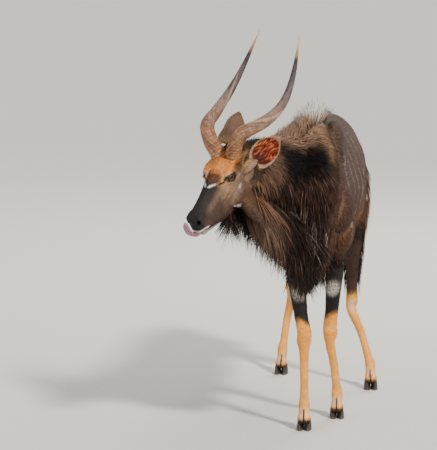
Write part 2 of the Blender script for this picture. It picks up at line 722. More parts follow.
class Hue(Enum):
    """Colours of the skin and coat."""

    FLANK = linear(88, 64, 53)
    BACK = linear(84, 63, 53)
    BELLY = linear(40, 26, 21)
    RUST = linear(128, 78, 46)
    NECK = linear(50, 33, 27)
    UMBER = linear(30, 19, 16)
    BLACK = linear(10, 7, 7)
    STRAND = linear(124, 94, 76)
    STREAK = linear(160, 148, 140)
    WHITE = linear(240, 234, 224)
    GOLD = linear(166, 132, 98)
    NAPE = linear(150, 120, 99)
    CHEEK = linear(140, 112, 93)
    JAW = linear(132, 88, 58)
    FOREHEAD = linear(232, 148, 74)
    TAN = linear(206, 158, 104)
    CREAM = linear(224, 196, 160)
    BRIDGE = linear(26, 20, 19)
    LEATHER = linear(5, 4, 5)
    LEG = linear(246, 162, 66)
    CANNON = linear(246, 172, 82)
    BREECH = linear(52, 32, 22)
    TAIL = linear(88, 66, 50)

    @property
    def array(self) -> np.ndarray:
        """The colour as a row."""
        return np.array(self.value)


@dataclass
class Painter:
    """Lays colours over rows of points in the animal's frame, the same for skin and coat."""

    points: np.ndarray
    colour: np.ndarray

    def mix(self, hue: Hue, mask: np.ndarray) -> None:
        """Covers the colour with another one, by a mask from 0 to 1."""
        share = np.clip(mask, 0, 1)[:, None]
        self.colour = self.colour * (1 - share) + hue.array * share


def wobble(points: np.ndarray, scale: float, seed: int = 0) -> np.ndarray:
    """Smooth irregular value from about -1 to 1, from a few crossed waves.

    Args:
        points: rows of places.
        scale: length of a wave.
        seed: choice among patterns.

    Returns:
        One value a row.
    """
    draw = np.random.default_rng(900 + seed)
    total = np.zeros(len(points))
    for _ in range(5):
        way = unit(draw.normal(size=(1, 3)))[0]
        pace = 2 * math.pi / (scale * draw.uniform(0.6, 1.5))
        total += np.sin(points @ way * pace + draw.uniform(0, 6.3))
    return total / 3.2


def blob(rows: np.ndarray, centre: Sequence[float], radii: Sequence[float],
         soft: float = 0.5) -> np.ndarray:
    """Mask that is 1 inside an ellipsoid and fades to 0 over a soft edge."""
    away = np.linalg.norm((rows - np.array(centre)) / np.array(radii), axis=1)
    return step(1 + soft * 0.5, 1 - soft * 0.5, away)


def band(rows: np.ndarray, line: Sequence[Sequence[float]], half: float, soft: float = 0.5) -> np.ndarray:
    """Mask that is 1 along a line of points, as wide as half on either side."""
    away = np.full(len(rows), 1e9)
    for start, end in zip(line, line[1:]):
        a, b = np.array(start), np.array(end)
        along = np.clip((rows - a) @ (b - a) / max(float((b - a) @ (b - a)), 1e-12), 0, 1)
        away = np.minimum(away, np.linalg.norm(rows - a - along[:, None] * (b - a), axis=1))
    return step(half * (1 + soft), half * (1 - soft), away)


def locks(rows: np.ndarray, stretch: Sequence[float], scale: float, seed: int) -> np.ndarray:
    """Value from about -1 to 1 in long narrow patches, like hairs that clump.

    Args:
        rows: places in axes of which one follows the hair.
        stretch: how much narrower the patches are along each axis.
        scale: length of a patch.
        seed: choice among patterns.

    Returns:
        One value a row.
    """
    return wobble(rows * np.array(stretch), scale, seed) * (0.6 + 0.4 * wobble(rows, scale * 1.4, seed + 1))


@dataclass(frozen=True)
class Markings:
    """Where each colour of the animal lies.

    Each row of stripe_rows is one stripe: its place along the body, its top and foot, and its strength.
    """

    head: HeadFrame = HEAD
    eye: EyePlan = EYE
    stripe_rows: Sequence[tuple[float, float, float, float]] = (
        (-0.055, 0.960, 0.640, 0.55),
        (0.060, 0.985, 0.690, 0.40),
        (0.160, 0.975, 0.665, 0.50),
        (0.255, 0.980, 0.690, 0.45),
        (0.350, 0.975, 0.670, 0.50),
        (0.445, 0.975, 0.680, 0.45),
        (0.535, 0.975, 0.700, 0.50),
        (0.625, 0.985, 0.720, 0.45),
        (0.720, 0.985, 0.740, 0.45),
        (0.800, 0.975, 0.760, 0.40),
    )
    haunch_spots: Sequence[tuple[float, float, float]] = (
        (0.13, 0.735, 0.735), (0.135, 0.775, 0.700), (0.12, 0.815, 0.745), (0.13, 0.695, 0.700),
    )

    def of(self, points: np.ndarray) -> np.ndarray:
        """Colours of places on the body.

        Args:
            points: rows in the animal's frame.

        Returns:
            Rows of linear red, green and blue.
        """
        brush = Painter(points, np.tile(Hue.FLANK.array, (len(points), 1)))
        self.trunk(brush)
        self.limbs(brush)
        self.face(brush)
        return brush.colour * self.clumps(points)[:, None]

    def clumps(self, points: np.ndarray) -> np.ndarray:
        """Shade of the clumped hairs: along the head on the face, and down everywhere else."""
        rows = self.head.local(points)
        ahead = step(-0.04, 0.02, beyond(points, *COLLAR))
        fine = locks(rows, (7.0, 1.0, 7.0), 0.034, 31) + 0.6 * locks(rows, (14.0, 1.6, 14.0), 0.034, 33)
        slant = np.column_stack([points[:, 0], points[:, 1] + 0.5 * points[:, 2], points[:, 2]])
        broad = locks(slant, (5.0, 5.0, 0.8), 0.075, 35) + 0.6 * locks(slant, (10.0, 10.0, 1.4), 0.075, 37)
        low = step(0.50, 0.56, points[:, 2])
        return 1 + 0.30 * fine * ahead + (0.06 + 0.16 * low) * broad * (1 - ahead)

    def trunk(self, brush: Painter) -> None:
        """Back, flanks, stripes, belly, neck and tail."""
        p = brush.points
        x, y, z = np.abs(p[:, 0]), p[:, 1], p[:, 2]
        rough = wobble(p, 0.09, 1)
        brush.mix(Hue.BACK, 0.75 * step(0.84, 1.00, z + 0.02 * rough))
        brush.mix(Hue.RUST, 0.24 * step(0.80, 0.62, z + 0.03 * rough) * step(-0.16, -0.05, y))
        brush.mix(Hue.BELLY, step(0.625, 0.575, z + 0.02 * rough))
        for number, (start, top, low, strength) in enumerate(self.stripe_rows):
            line = start + 0.030 * (0.95 - z) + 0.006 * np.sin(z * 21 + number * 2.1)
            mask = step(0.0085, 0.0030, np.abs(y - line)) * step(low - 0.02, low + 0.04, z)
            mask *= step(top + 0.02, top - 0.03, z)
            broken = 0.72 + 0.28 * np.sin(z * 48 + number * 1.7) * np.sin(z * 19 + number)
            brush.mix(Hue.STREAK, 1.7 * strength * mask * broken * step(0.02, 0.05, x))
        even = np.column_stack([x, y, z])
        for place in self.haunch_spots:
            brush.mix(Hue.WHITE, 0.7 * blob(even, place, (0.05, 0.010, 0.009), 0.8))
        crest = step(0.028, 0.008, x + 0.006 * rough)
        brush.mix(Hue.UMBER, 0.8 * crest * step(0.99, 1.0, z) * step(0.10, 0.20, y) * step(0.90, 0.80, y))
        brush.mix(Hue.STREAK, 0.55 * step(0.010, 0.003, x) * step(0.97, 0.99, z) * step(0.12, 0.25, y))
        self.ruff(brush)
        tail = step(0.955, 0.975, y) * step(0.56, 0.60, z) + step(1.00, 1.02, y) * step(0.50, 0.52, z)
        brush.mix(Hue.TAIL, tail)
        brush.mix(Hue.UMBER, tail * step(0.010, 0.022, y - 1.018) * 0.8)
        under = tail * step(1.015, 0.998, y) * step(0.90, 0.86, z)
        brush.mix(Hue.WHITE, under * 0.9)

    def ruff(self, brush: Painter) -> None:
        """Neck, throat, chest and withers."""
        p = brush.points
        side = p[:, 0]
        y, z = p[:, 1], p[:, 2]
        rough = wobble(p, 0.06, 2)
        depth = beyond(p, *NECK_ROOT)
        edge = side + 0.010 * rough - 0.08 * step(0.74, 0.66, z)
        neck = step(-0.035, 0.030, depth + 0.012 * rough) * step(0.070, 0.035, edge)
        brush.mix(Hue.NECK, neck)
        dark = neck * step(0.90, 0.78, z + 0.03 * rough)
        brush.mix(Hue.UMBER, 0.85 * dark)
        brush.mix(Hue.BLACK, 0.55 * neck * step(0.76, 0.66, z + 0.02 * rough))
        chest = step(-0.10, -0.17, y) * step(0.74, 0.66, z + 0.02 * rough)
        brush.mix(Hue.UMBER, chest)
        nape = blob(p, (-0.066, -0.135, 1.020), (0.085, 0.125, 0.082), 0.5)
        brush.mix(Hue.NAPE, 0.9 * nape)
        ragged = p + 0.016 * wobble(p, 0.030, 17)[:, None]
        patch = blob(ragged, (-0.050, -0.225, 0.922), (0.12, 0.080, 0.034), 1.0)
        brush.mix(Hue.BLACK, 1.15 * patch)
        ridge = band(p, ((-0.17, -0.24, 1.00), (-0.08, -0.15, 1.005), (-0.01, -0.05, 1.05)), 0.012, 0.9)
        brush.mix(Hue.BELLY, 0.75 * ridge)
        gold = band(p, ((0.010, -0.06, 1.040), (0.022, -0.115, 0.985), (0.040, -0.145, 0.925)), 0.024, 0.8)
        brush.mix(Hue.GOLD, 0.80 * gold)
        gold = band(p, ((-0.045, -0.02, 1.040), (-0.075, -0.06, 0.985), (-0.085, -0.08, 0.93)), 0.034, 0.8)
        brush.mix(Hue.GOLD, 0.65 * gold)
        withers = band(p, ((-0.004, -0.060, 1.045), (0.0, 0.020, 1.075), (0.0, 0.100, 1.06)), 0.026, 0.6)
        brush.mix(Hue.WHITE, 0.95 * withers)
        shoulder = blob(np.column_stack([side, y, z]), (0.085, -0.10, 0.68), (0.07, 0.12, 0.13), 0.9)
        brush.mix(Hue.RUST, 0.16 * shoulder * (0.75 + 0.25 * rough))

    def limbs(self, brush: Painter) -> None:
        """Dark upper legs, orange lower legs and the white and black patches on them."""
        p = brush.points
        z = p[:, 2]
        for leg in LEGS:
            rows = np.array([row[:3] for row in leg.stations()])[::-1]
            centre = np.column_stack([np.interp(z, rows[:, 2], rows[:, 0]),
                                      np.interp(z, rows[:, 2], rows[:, 1])])
            inner = (p[:, 0] - centre[:, 0]) * -leg.side
            ahead = centre[:, 1] - p[:, 1]
            reach = 0.075 + 0.08 * step(0.36, 0.52, z)
            mine = step(reach, reach * 0.8, np.hypot(inner, 0.7 * ahead)) * step(0.560, 0.535, z)
            local = np.column_stack([inner, ahead, z])
            rough = wobble(p, 0.035, 5)
            if leg.front:
                level = z - 0.020 + 0.45 * np.clip(inner, -0.03, 0.03)
                level = level - 0.30 * np.clip(ahead, -0.02, 0.03) + 0.005 * rough
                brush.mix(Hue.UMBER, mine * step(0.350, 0.372, level))
                brush.mix(Hue.BLACK, 0.85 * mine * step(0.322, 0.352, level) * step(0.460, 0.420, z))
                front = blob(local, (0.004, 0.040, 0.462), (0.028, 0.030, 0.026), 0.9)
                front *= 0.60 + 0.40 * wobble(p, 0.008, 6)
                brush.mix(Hue.STREAK, mine * front)
                brush.mix(Hue.WHITE, 0.45 * mine * front)
                orange = mine * step(0.354, 0.326, level)
            else:
                level = z + 0.008 * rough - 0.5 * np.clip(ahead, -0.03, 0.03)
                brush.mix(Hue.BREECH, mine * step(0.300, 0.335, level))
                orange = mine * step(0.335, 0.305, level)
            brush.mix(Hue.LEG, orange)
            brush.mix(Hue.CANNON, orange * 0.7 * step(0.26, 0.18, z))
            brush.mix(Hue.JAW, orange * 0.45 * step(-0.004, -0.018, ahead))
            if not leg.front:
                patch = blob(local, (0.0, 0.034, 0.285), (0.018, 0.024, 0.034), 0.9)
                brush.mix(Hue.CREAM, 0.70 * mine * patch)
            else:
                inside = band(local, ((0.024, 0.008, 0.322), (0.026, 0.006, 0.262)), 0.0065, 0.6)
                brush.mix(Hue.WHITE, 0.7 * mine * inside)
            pastern = blob(local, (0.0, 0.024, 0.060), (0.026, 0.020, 0.021), 0.6)
            brush.mix(Hue.WHITE, 0.2 * mine * pastern)
            coronet = step(0.044, 0.034, z)
            brush.mix(Hue.BRIDGE, mine * coronet)
            split = step(0.0045, 0.0015, np.abs(inner)) * step(0.080, 0.068, z) * step(-0.005, 0.010, ahead)
            brush.mix(Hue.BLACK, mine * split)
            back = step(0.0, -0.016, ahead) * step(0.105, 0.085, z)
            brush.mix(Hue.BRIDGE, 0.8 * mine * back)

    def face(self, brush: Painter) -> None:
        """Forehead, bridge, cheeks, chevron, spots, rings of the eyes, lips and nose."""
        p = brush.points
        rows = self.head.local(p)
        left, nose, out = np.abs(rows[:, 0]), rows[:, 1], rows[:, 2]
        even = np.column_stack([left, nose, out])
        rough = wobble(p, 0.022, 7)
        fine = wobble(p, 0.009, 8)
        cutaway = beyond(p, *COLLAR)
        back = 0.075 * step(0.84, 0.91, p[:, 2]) * step(1.00, 0.96, p[:, 2])
        face = step(-0.040, 0.014, cutaway + back + 0.012 * rough) * step(0.20, 0.15, left)
        brush.mix(Hue.CHEEK, face * (0.92 + 0.08 * fine))
        brush.mix(Hue.NECK, 0.40 * face * step(0.02, -0.03, cutaway + 0.010 * rough))
        brush.mix(Hue.NECK, 0.85 * face * step(0.095, 0.175, nose + 0.012 * rough)
                  * step(-0.018, -0.055, out + 0.006 * fine))
        brush.mix(Hue.NECK, 0.45 * face * step(-0.095, -0.130, out + 0.010 * rough)
                  * step(0.03, 0.09, nose))
        brush.mix(Hue.TAN, 0.18 * face * blob(even, (0.045, 0.100, -0.060), (0.03, 0.035, 0.026), 1.0))
        brush.mix(Hue.JAW, 0.45 * face * blob(even, (0.045, 0.050, -0.155), (0.05, 0.070, 0.030), 0.9)
                  * (0.8 + 0.4 * rough))
        brush.mix(Hue.BLACK, 0.85 * face * step(0.022, 0.010, left) * step(-0.166, -0.178, out))
        brush.mix(Hue.TAN, 0.75 * face * blob(even, (0.062, -0.006, -0.055), (0.036, 0.034, 0.028), 0.8))
        bridge = step(0.043, 0.010, left + 0.004 * rough - 0.05 * (nose - 0.16)) * step(0.112, 0.130, nose)
        bridge *= step(-0.042, -0.020, out)
        brush.mix(Hue.BRIDGE, 0.8 * face * step(0.185, 0.225, nose) * step(-0.062, -0.040, out))
        fore = step(0.134, 0.100, nose + 0.35 * left + 0.008 * rough) * step(-0.046, -0.022, out)
        brush.mix(Hue.FOREHEAD, face * fore * (0.88 + 0.12 * fine))
        side = blob(even, (0.038, 0.060, -0.022), (0.026, 0.042, 0.022), 0.8)
        brush.mix(Hue.FOREHEAD, 0.50 * face * side)
        brush.mix(Hue.RUST, 0.50 * face * fore * step(0.045, 0.095, nose) * (0.7 + 0.3 * rough))
        smoke = step(0.038, 0.018, left - 0.10 * (nose - 0.10)) * step(0.070, 0.098, nose + 0.008 * rough)
        smoke *= step(-0.042, -0.020, out)
        brush.mix(Hue.BRIDGE, 0.92 * face * smoke * (0.90 + 0.10 * fine))
        brush.mix(Hue.BRIDGE, face * bridge * (0.92 + 0.08 * fine))
        brush.mix(Hue.UMBER, 0.80 * face * step(0.012, -0.010, nose + 0.006 * rough)
                  * step(-0.050, -0.030, out))
        brush.mix(Hue.UMBER, 0.75 * face * blob(even, (0.050, 0.018, -0.032), (0.014, 0.036, 0.020), 0.9))
        chevron = band(even, ((0.0070, 0.1365, -0.004), (0.0135, 0.130, -0.006), (0.0235, 0.1195, -0.011)),
                       0.0045, 0.35)
        brush.mix(Hue.WHITE, face * chevron)
        spot = band(even, ((0.0525, 0.061, -0.086), (0.053, 0.072, -0.090)), 0.0040, 0.45)
        brush.mix(Hue.WHITE, 0.95 * face * spot)
        spot = blob(even, (0.0425, 0.1165, -0.1345), (0.0072, 0.0060, 0.0085), 0.35)
        brush.mix(Hue.WHITE, 0.95 * face * spot)
        for mirror in (1, -1):
            around = self.eye.around(self.head, mirror, p)
            ring = self.eye.ring(around)
            near = step(0.0, 0.008, around[:, 2]) * step(0.050, 0.036, np.linalg.norm(around, axis=1))
            brush.mix(Hue.TAN, 0.70 * near * step(2.30, 1.85, ring + 0.15 * rough))
            brush.mix(Hue.CREAM, 0.38 * near * step(2.0, 1.8, ring))
            brush.mix(Hue.BLACK, 0.97 * near * step(1.75, 1.50, ring))
        for half, hue, share in ((0.0040, Hue.TAN, 0.45), (0.0024, Hue.BLACK, 0.95)):
            line = band(even[:, :2], ((0.0475, 0.0820), (0.0405, 0.0900), (0.0335, 0.0995),
                                      (0.0270, 0.1145)), half, 0.5)
            brush.mix(hue, share * face * line * step(-0.045, -0.035, out))
        lip = self.head.lip(nose)
        upper = step(0.228, 0.244, nose) * step(lip + 0.016, lip + 0.010, out)
        upper *= step(lip - 0.002, lip + 0.001, out)
        brush.mix(Hue.WHITE, 0.85 * face * upper)
        chin = step(0.185, 0.215, nose + 0.006 * rough) * step(lip - 0.002, lip - 0.006, out)
        brush.mix(Hue.STREAK, 0.7 * face * chin)
        brush.mix(Hue.WHITE, 0.30 * face * chin * step(0.205, 0.235, nose))
        brush.mix(Hue.BRIDGE, 0.9 * face * step(0.0060, 0.0030, np.abs(out - lip + 0.001))
                  * step(0.165, 0.195, nose) * step(0.250, 0.236, nose))
        brush.mix(Hue.BLACK, 0.9 * face * step(0.0034, 0.0018, np.abs(out - lip))
                  * step(0.196, 0.210, nose))
        brush.mix(Hue.LEATHER, self.leather(p))

    def leather(self, points: np.ndarray) -> np.ndarray:
        """Mask of the bare black nose."""
        rows = self.head.local(points)
        left, nose, out = np.abs(rows[:, 0]), rows[:, 1], rows[:, 2]
        ahead = nose - 0.30 * np.maximum(left - 0.010, 0)
        return step(0.240, 0.246, ahead) * step(-0.064, -0.058, out) * step(0.2, 0.1, left)


MARKINGS = Markings()


def tag(mesh: bpy.types.Mesh, name: str, values: np.ndarray) -> None:
    """Stores one number for each vertex, for a material to read."""
    layer = mesh.attributes.new(name, "FLOAT", "POINT")
    layer.data.foreach_set("value", values.astype(np.float32))


def paint(mesh: bpy.types.Mesh, colours: np.ndarray) -> None:
    """Stores one colour for each vertex, as the attribute pelt."""
    layer = mesh.attributes.new("pelt", "FLOAT_COLOR", "POINT")
    rows = np.column_stack([colours, np.ones(len(colours))]).astype(np.float32)
    layer.data.foreach_set("color", rows.ravel())


def tagged(mesh: bpy.types.Mesh, name: str) -> np.ndarray:
    """Reads a number stored for each vertex."""
    values = np.empty(len(mesh.vertices), np.float32)
    mesh.attributes[name].data.foreach_get("value", values)
    return values


@dataclass(frozen=True)
class Eyeball:
    """Dark wet eye with a brown iris and a level oblong pupil."""

    head: HeadFrame = HEAD
    plan: EyePlan = EYE

    def build(self, side: int) -> bpy.types.Object:
        """The eyeball of one side, its pole along the gaze."""
        name = "eyeball_left" if side == 1 else "eyeball_right"
        axes = self.plan.axes(self.head, side)
        centre = self.plan.centre(self.head, side)
        radius = self.plan.radius - 0.0003
        bm = ball(64, 48)
        for vertex in bm.verts:
            bulge = 1 + 0.035 * max(0.0, vertex.co.z - 0.80) / 0.20
            vertex.co *= radius * bulge
        wide = {vertex.index: (vertex.co.x, vertex.co.y, vertex.co.z) for vertex in bm.verts}
        shape = Matrix.Translation(centre) @ axes.to_4x4()
        bmesh.ops.transform(bm, matrix=shape, verts=bm.verts[:])
        obj = new_piece(name, bm)
        rows = np.array([wide[i] for i in range(len(wide))]) / radius
        tag(obj.data, "across", rows[:, 0])
        tag(obj.data, "above", rows[:, 1])
        return settle(obj)


@dataclass(frozen=True)
class LidRim:
    """Wet dark edge of the lids round one eye."""

    head: HeadFrame = HEAD
    plan: EyePlan = EYE
    thickness: float = 0.0014

    def build(self, side: int) -> bpy.types.Object:
        """A closed hoop along the edge of the opening."""
        axes = self.plan.axes(self.head, side)
        centre = self.plan.centre(self.head, side)
        reach = self.plan.radius + 0.0006
        points = []
        count = 72
        for k in range(count):
            angle = 2 * math.pi * k / count
            u = self.plan.half_width * 0.965 * math.cos(angle)
            v = self.plan.half_height * 0.965 * math.sin(angle)
            w = math.sqrt(reach ** 2 - u * u - v * v)
            points.append(centre + axes @ Vector((u, v, w)))
        rings = []
        for k in range(count + 1):
            here = points[k % count]
            travel = (points[(k + 1) % count] - points[(k - 1) % count]).normalized()
            out = (here - centre).normalized()
            inward = travel.cross(out).normalized()
            ring = []
            for j in range(8):
                turn = 2 * math.pi * j / 8
                ring.append(here + (out * math.cos(turn) + inward * math.sin(turn)) * self.thickness)
            rings.append(ring)
        bm = sleeve(rings)
        caps = [face for face in bm.faces if len(face.verts) > 4]
        bmesh.ops.delete(bm, geom=caps, context="FACES_ONLY")
        bmesh.ops.remove_doubles(bm, verts=bm.verts[:], dist=1e-6)
        name = "lid_rim_left" if side == 1 else "lid_rim_right"
        return settle(new_piece(name, bm))


@dataclass(frozen=True)
class Horn:
    """Lyre-shaped horn with a keel that winds round it, growth rings and a worn pale tip."""

    head: HeadFrame = HEAD
    root: tuple[float, float, float] = (0.0325, 0.0, -0.005)
    tip: tuple[float, float, float] = (0.0768, -0.448, 0.0436)
    bow: float = 0.0425
    lean: float = -0.009
    wind: float = 0.040
    sag: float = 0.1055
    start: float = -0.05
    keel: float = 1.9
    turns: float = 1.15
    radius: float = 0.0240
    spans: int = 150
    sides: int = 40

    def point(self, side: int, t: float) -> Vector:
        """Point of the centre line, t from 0 at the skin to 1 at the tip."""
        arc = math.sin(math.pi * t)
        wave = math.sin(2 * math.pi * t)
        left = self.root[0] + t * (self.tip[0] - self.root[0]) + self.bow * arc + self.lean * wave
        nose = self.root[1] + t * (self.tip[1] - self.root[1]) + self.sag * arc
        out = self.root[2] + t * (self.tip[2] - self.root[2]) + self.wind * wave
        return self.head.place(side * left, nose, out)

    def build(self, side: int) -> bpy.types.Object:
        """The horn of one side, with its length and turn stored for its finish."""
        rings = []
        across_line = self.head.axes.col[0]
        for i in range(self.spans + 1):
            t = self.start + (1.003 - self.start) * i / self.spans
            place = self.point(side, t)
            travel = (self.point(side, t + 0.01) - self.point(side, t - 0.01)).normalized()
            across = (across_line - travel * travel.dot(across_line)).normalized()
            up = across.cross(travel)
            radius = max(self.radius * (1 - min(max(t, 0), 1) ** 1.9) ** 0.85, 0.0011)
            if i == self.spans:
                radius = 0.0004
            growth = 0.012 * math.sin(t * 2 * math.pi * 46 + 2 * math.sin(t * 31)) * max(0.0, 1 - t / 0.62)
            growth += 0.020 * math.sin(t * 2 * math.pi * 11 + 1) * max(0.0, 1 - t / 0.5)
            keel = -side * (self.keel + 2 * math.pi * self.turns * t)
            ring = []
            for k in range(self.sides):
                turn = 2 * math.pi * k / self.sides
                ridge = 1 + 0.20 * max(0.0, math.cos(turn)) ** 4 - 0.06 * math.cos(2 * turn)
                ridge += 0.018 * max(0.0, math.cos(turn)) ** 30 + growth * (0.5 + 0.5 * abs(math.sin(turn)))
                flutes = 0.022 * max(0.0, math.cos(turn - 0.75)) ** 18
                flutes += 0.018 * max(0.0, math.cos(turn + 0.8)) ** 18
                ridge -= flutes
                angle = turn + keel
                ring.append(place + (across * math.cos(angle) + up * math.sin(angle)) * radius * ridge)
            rings.append(ring)
        name = "horn_of_left" if side == 1 else "horn_of_right"
        obj = new_piece(name, sleeve(rings))
        turn = tagged(obj.data, "turn") * 2 * math.pi
        tag(obj.data, "along", self.start + (1.003 - self.start) * tagged(obj.data, "row"))
        tag(obj.data, "keel", np.cos(turn))
        tag(obj.data, "flute", np.sin(turn))
        return settle(obj)


class EarSide(Enum):
    """Place of the root, lean of the axis and way that the cup faces, one for each ear."""

    LEFT = ((0.071, -0.006, -0.066), (0.70, -0.08, 0.72), (0.10, -0.98, 0.05))
    RIGHT = ((-0.037, -0.046, -0.062), (0.24, 0.28, 0.92), (-0.55, 0.80, 0.0))


@dataclass(frozen=True)
class Ear:
    """Broad leaf-shaped cup with folds and ridges inside and a rounded root."""

    head: HeadFrame = HEAD
    length: float = 0.126
    half_width: float = 0.039
    wall: float = 0.0026
    start: float = 0.10
    spans: int = 40
    columns: int = 28

    def frame(self, which: EarSide) -> tuple[Vector, Vector, Vector, Vector]:
        """Root, axis, facing and across directions of an ear."""
        place, lean, face = which.value
        axis = Vector(lean).normalized()
        out = (Vector(face) - axis * axis.dot(Vector(face))).normalized()
        return self.head.place(*place), axis, out, axis.cross(out)

    def arcs(self, which: EarSide) -> list[tuple[list[Vector], list[Vector]]]:
        """Outer and inner arcs from the root to the tip."""
        root, axis, out, across = self.frame(which)
        arcs = []
        for i in range(self.spans + 1):
            t = self.start + (1 - self.start) * i / self.spans
            width = self.half_width * (0.27 + 0.73 * math.sin(math.pi * t ** 0.86) ** 0.8)
            width *= math.sqrt(max(0.0, 1 - (max(0.0, t - 0.72) / 0.29) ** 2)) + 0.03
            rise = min(1.0, max(0.0, t / 0.5))
            curl = math.radians(150 - 92 * rise * rise * (3 - 2 * rise))
            radius = width / math.sin(min(curl, math.pi / 2))
            centre = root + axis * (self.length * t) + out * radius * 0.55
            outer = []
            inner = []
            for k in range(self.columns):
                share = 2 * k / (self.columns - 1) - 1
                wall = self.wall * (1 - 0.55 * abs(share) ** 6)
                fold = 0.0016 * math.sin(share * 9.0 + 0.6) * math.sin(math.pi * t) * (1 - share * share)
                ridges = 0.0022 * math.exp(-((share - 0.30) / 0.10) ** 2) * (1 - t)
                ridges += 0.0018 * math.exp(-((share + 0.25) / 0.08) ** 2) * (1 - t)
                fold += ridges
                arm = across * math.sin(curl * share) - out * math.cos(curl * share)
                outer.append(centre + arm * radius)
                inner.append(centre + arm * (radius - wall - fold))
            arcs.append((outer, inner))
        return arcs

    def build(self, which: EarSide) -> bpy.types.Object:
        """The cup on its root, tagged with how deep inside each place lies."""
        name = "ear_of_left" if which is EarSide.LEFT else "ear_of_right"
        arcs = self.arcs(which)
        shell = new_piece(name + "_shell", sleeve([outer + inner[::-1] for outer, inner in arcs]))
        root, axis, out, across = self.frame(which)
        axes = Matrix((across, out, axis)).transposed()
        plug = ellipsoid("plug", root - axis * 0.008, (0.0100, 0.0090, 0.030), axes, 40, 28)
        shell.name = name
        modifier = shell.modifiers.new("Root", "BOOLEAN")
        modifier.operation = "UNION"
        modifier.solver = "MANIFOLD"
        modifier.object = plug
        applied(shell)
        bpy.data.objects.remove(plug)
        rows = corners(shell.data)
        local = (rows - np.array(root)) @ np.array(axes)
        turn = tagged(shell.data, "turn") * 2 * self.columns
        tag(shell.data, "along", local[:, 2] / self.length)
        tag(shell.data, "across", local[:, 0] / self.half_width)
        tag(shell.data, "inside", (turn > self.columns - 0.5).astype(float))
        return settle(shell)


@dataclass(frozen=True)
class Tongue:
    """Tongue that leaves the front of the mouth and curls up over the lip, with a furrow along it."""

    head: HeadFrame = HEAD
    line: Sequence[Sequence[float]] = (
        (0.000, 0.205, -0.078, 0.013),
        (0.000, 0.235, -0.078, 0.013),
        (-0.001, 0.262, -0.078, 0.013),
        (-0.004, 0.280, -0.070, 0.0145),
        (-0.007, 0.287, -0.052, 0.014),
        (-0.009, 0.286, -0.034, 0.0125),
        (-0.010, 0.282, -0.021, 0.0095),
        (-0.010, 0.279, -0.012, 0.0045),
    )
    thickness: float = 0.0058

    def build(self) -> bpy.types.Object:
        """The tongue, tagged with its length."""
        rows = [(*self.head.place(*row[:3]), row[3], self.thickness, self.thickness, 1.0, 1.0)
                for row in self.line]
        left = self.head.axes.col[0]
        tube = Tube(rows, tuple(-left), sides=28, steps=8, squareness=0.8)
        rings = tube.rings()
        for ring in rings:
            middle = sum(ring, Vector()) / len(ring)
            for k, point in enumerate(ring):
                turn = 2 * math.pi * k / len(ring)
                furrow = 0.0012 * math.exp(-(math.cos(turn) / 0.22) ** 2)
                ring[k] = point + (middle - point).normalized() * furrow
        end = rings[-1]
        middle = sum(end, Vector()) / len(end)
        travel = (middle - sum(rings[-2], Vector()) / len(end)).normalized()
        for share, move in ((0.82, 0.0018), (0.50, 0.0032), (0.12, 0.0040)):
            rings.append([middle + (point - middle) * share + travel * move for point in end])
        obj = new_piece("tongue_skin", sleeve(rings))
        return settle(obj)


@dataclass(frozen=True)
class Claw:
    """One half of a hoof: flat sole, steep front wall, rounded heel and fine growth lines."""

    leg: LegPlan
    side: int
    length: float = 0.062
    half_width: float = 0.0125
    profile: Sequence[tuple[float, float, float]] = (
        (0.0000, 0.975, 0.0002), (0.0012, 1.0, 0.0002), (0.018, 0.91, 0.0040), (0.034, 0.74, 0.0085),
    )

    def build(self) -> bpy.types.Object:
        """The claw as a closed piece that stands on the floor."""
        fine = refined(self.profile[1:], 7)
        rows = [self.profile[0], *[tuple(row) for row in fine]]
        stand = Vector(self.leg.hoof)
        yaw = Matrix.Rotation(math.radians(self.leg.turn), 3, "Z")
        rings = []
        for z, scale, shift in rows:
            ring = []
            for k in range(36):
                angle = 2 * math.pi * k / 36
                long = -math.cos(angle)
                half = self.half_width * (1 - 0.42 * max(0.0, -long) ** 2.2)
                inward = 0.0012 * (1 - abs(long))
                line = 1 + 0.004 * math.sin(z * 2600 + 2 * long) * (1 if z > 0.002 else 0)
                x = (half * math.sin(angle) - self.side * inward) * line
                y = self.length / 2 * long * line
                spot = Vector((x * scale + self.side * (self.half_width + 0.0010), y * scale + shift, z))
                ring.append(stand + yaw @ spot)
            rings.append(ring)
        end = "fore" if self.leg.front else "hind"
        flank = "left" if self.leg.side == 1 else "right"
        which = "outer" if self.side == self.leg.side else "inner"
        obj = new_piece(f"claw_{end}_{flank}_{which}", sleeve(rings))
        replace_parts(settle(obj), f"hoof_{end}_{flank}_{which}")
        return obj


# How deep a tuft is rooted, and how much darker it is at its root.
ROOT_DEPTH = 0.0012
ROOT_SHADE = 0.30
# Half width and height of a tuft on the flat plan, and the margin of the plan.
PLAN_HALF_WIDTH = 0.0013
PLAN_HEIGHT = 0.0026
PLAN_MARGIN = 0.004
# What the coat asks of rows of places: a direction or plan, a density, and changed colours.
Field = Callable[[np.ndarray], np.ndarray]
Density = Callable[[np.ndarray, np.ndarray], np.ndarray]
Dye = Callable[[np.ndarray, np.ndarray, np.random.Generator], np.ndarray]


class Region(Enum):
    """Parts of the coat that are groomed and kept apart."""

    FACE = "face"
    NECK = "neck"
    TRUNK = "trunk"
    LEGS = "legs"
    TAIL = "tail"


@dataclass(frozen=True)
class Roots:
    """Places that hair grows from: rows of place and normal in the animal's frame."""

    places: np.ndarray
    normals: np.ndarray

    def only(self, keep: np.ndarray) -> "Roots":
        """The roots that a mask keeps."""
        return Roots(self.places[keep], self.normals[keep])


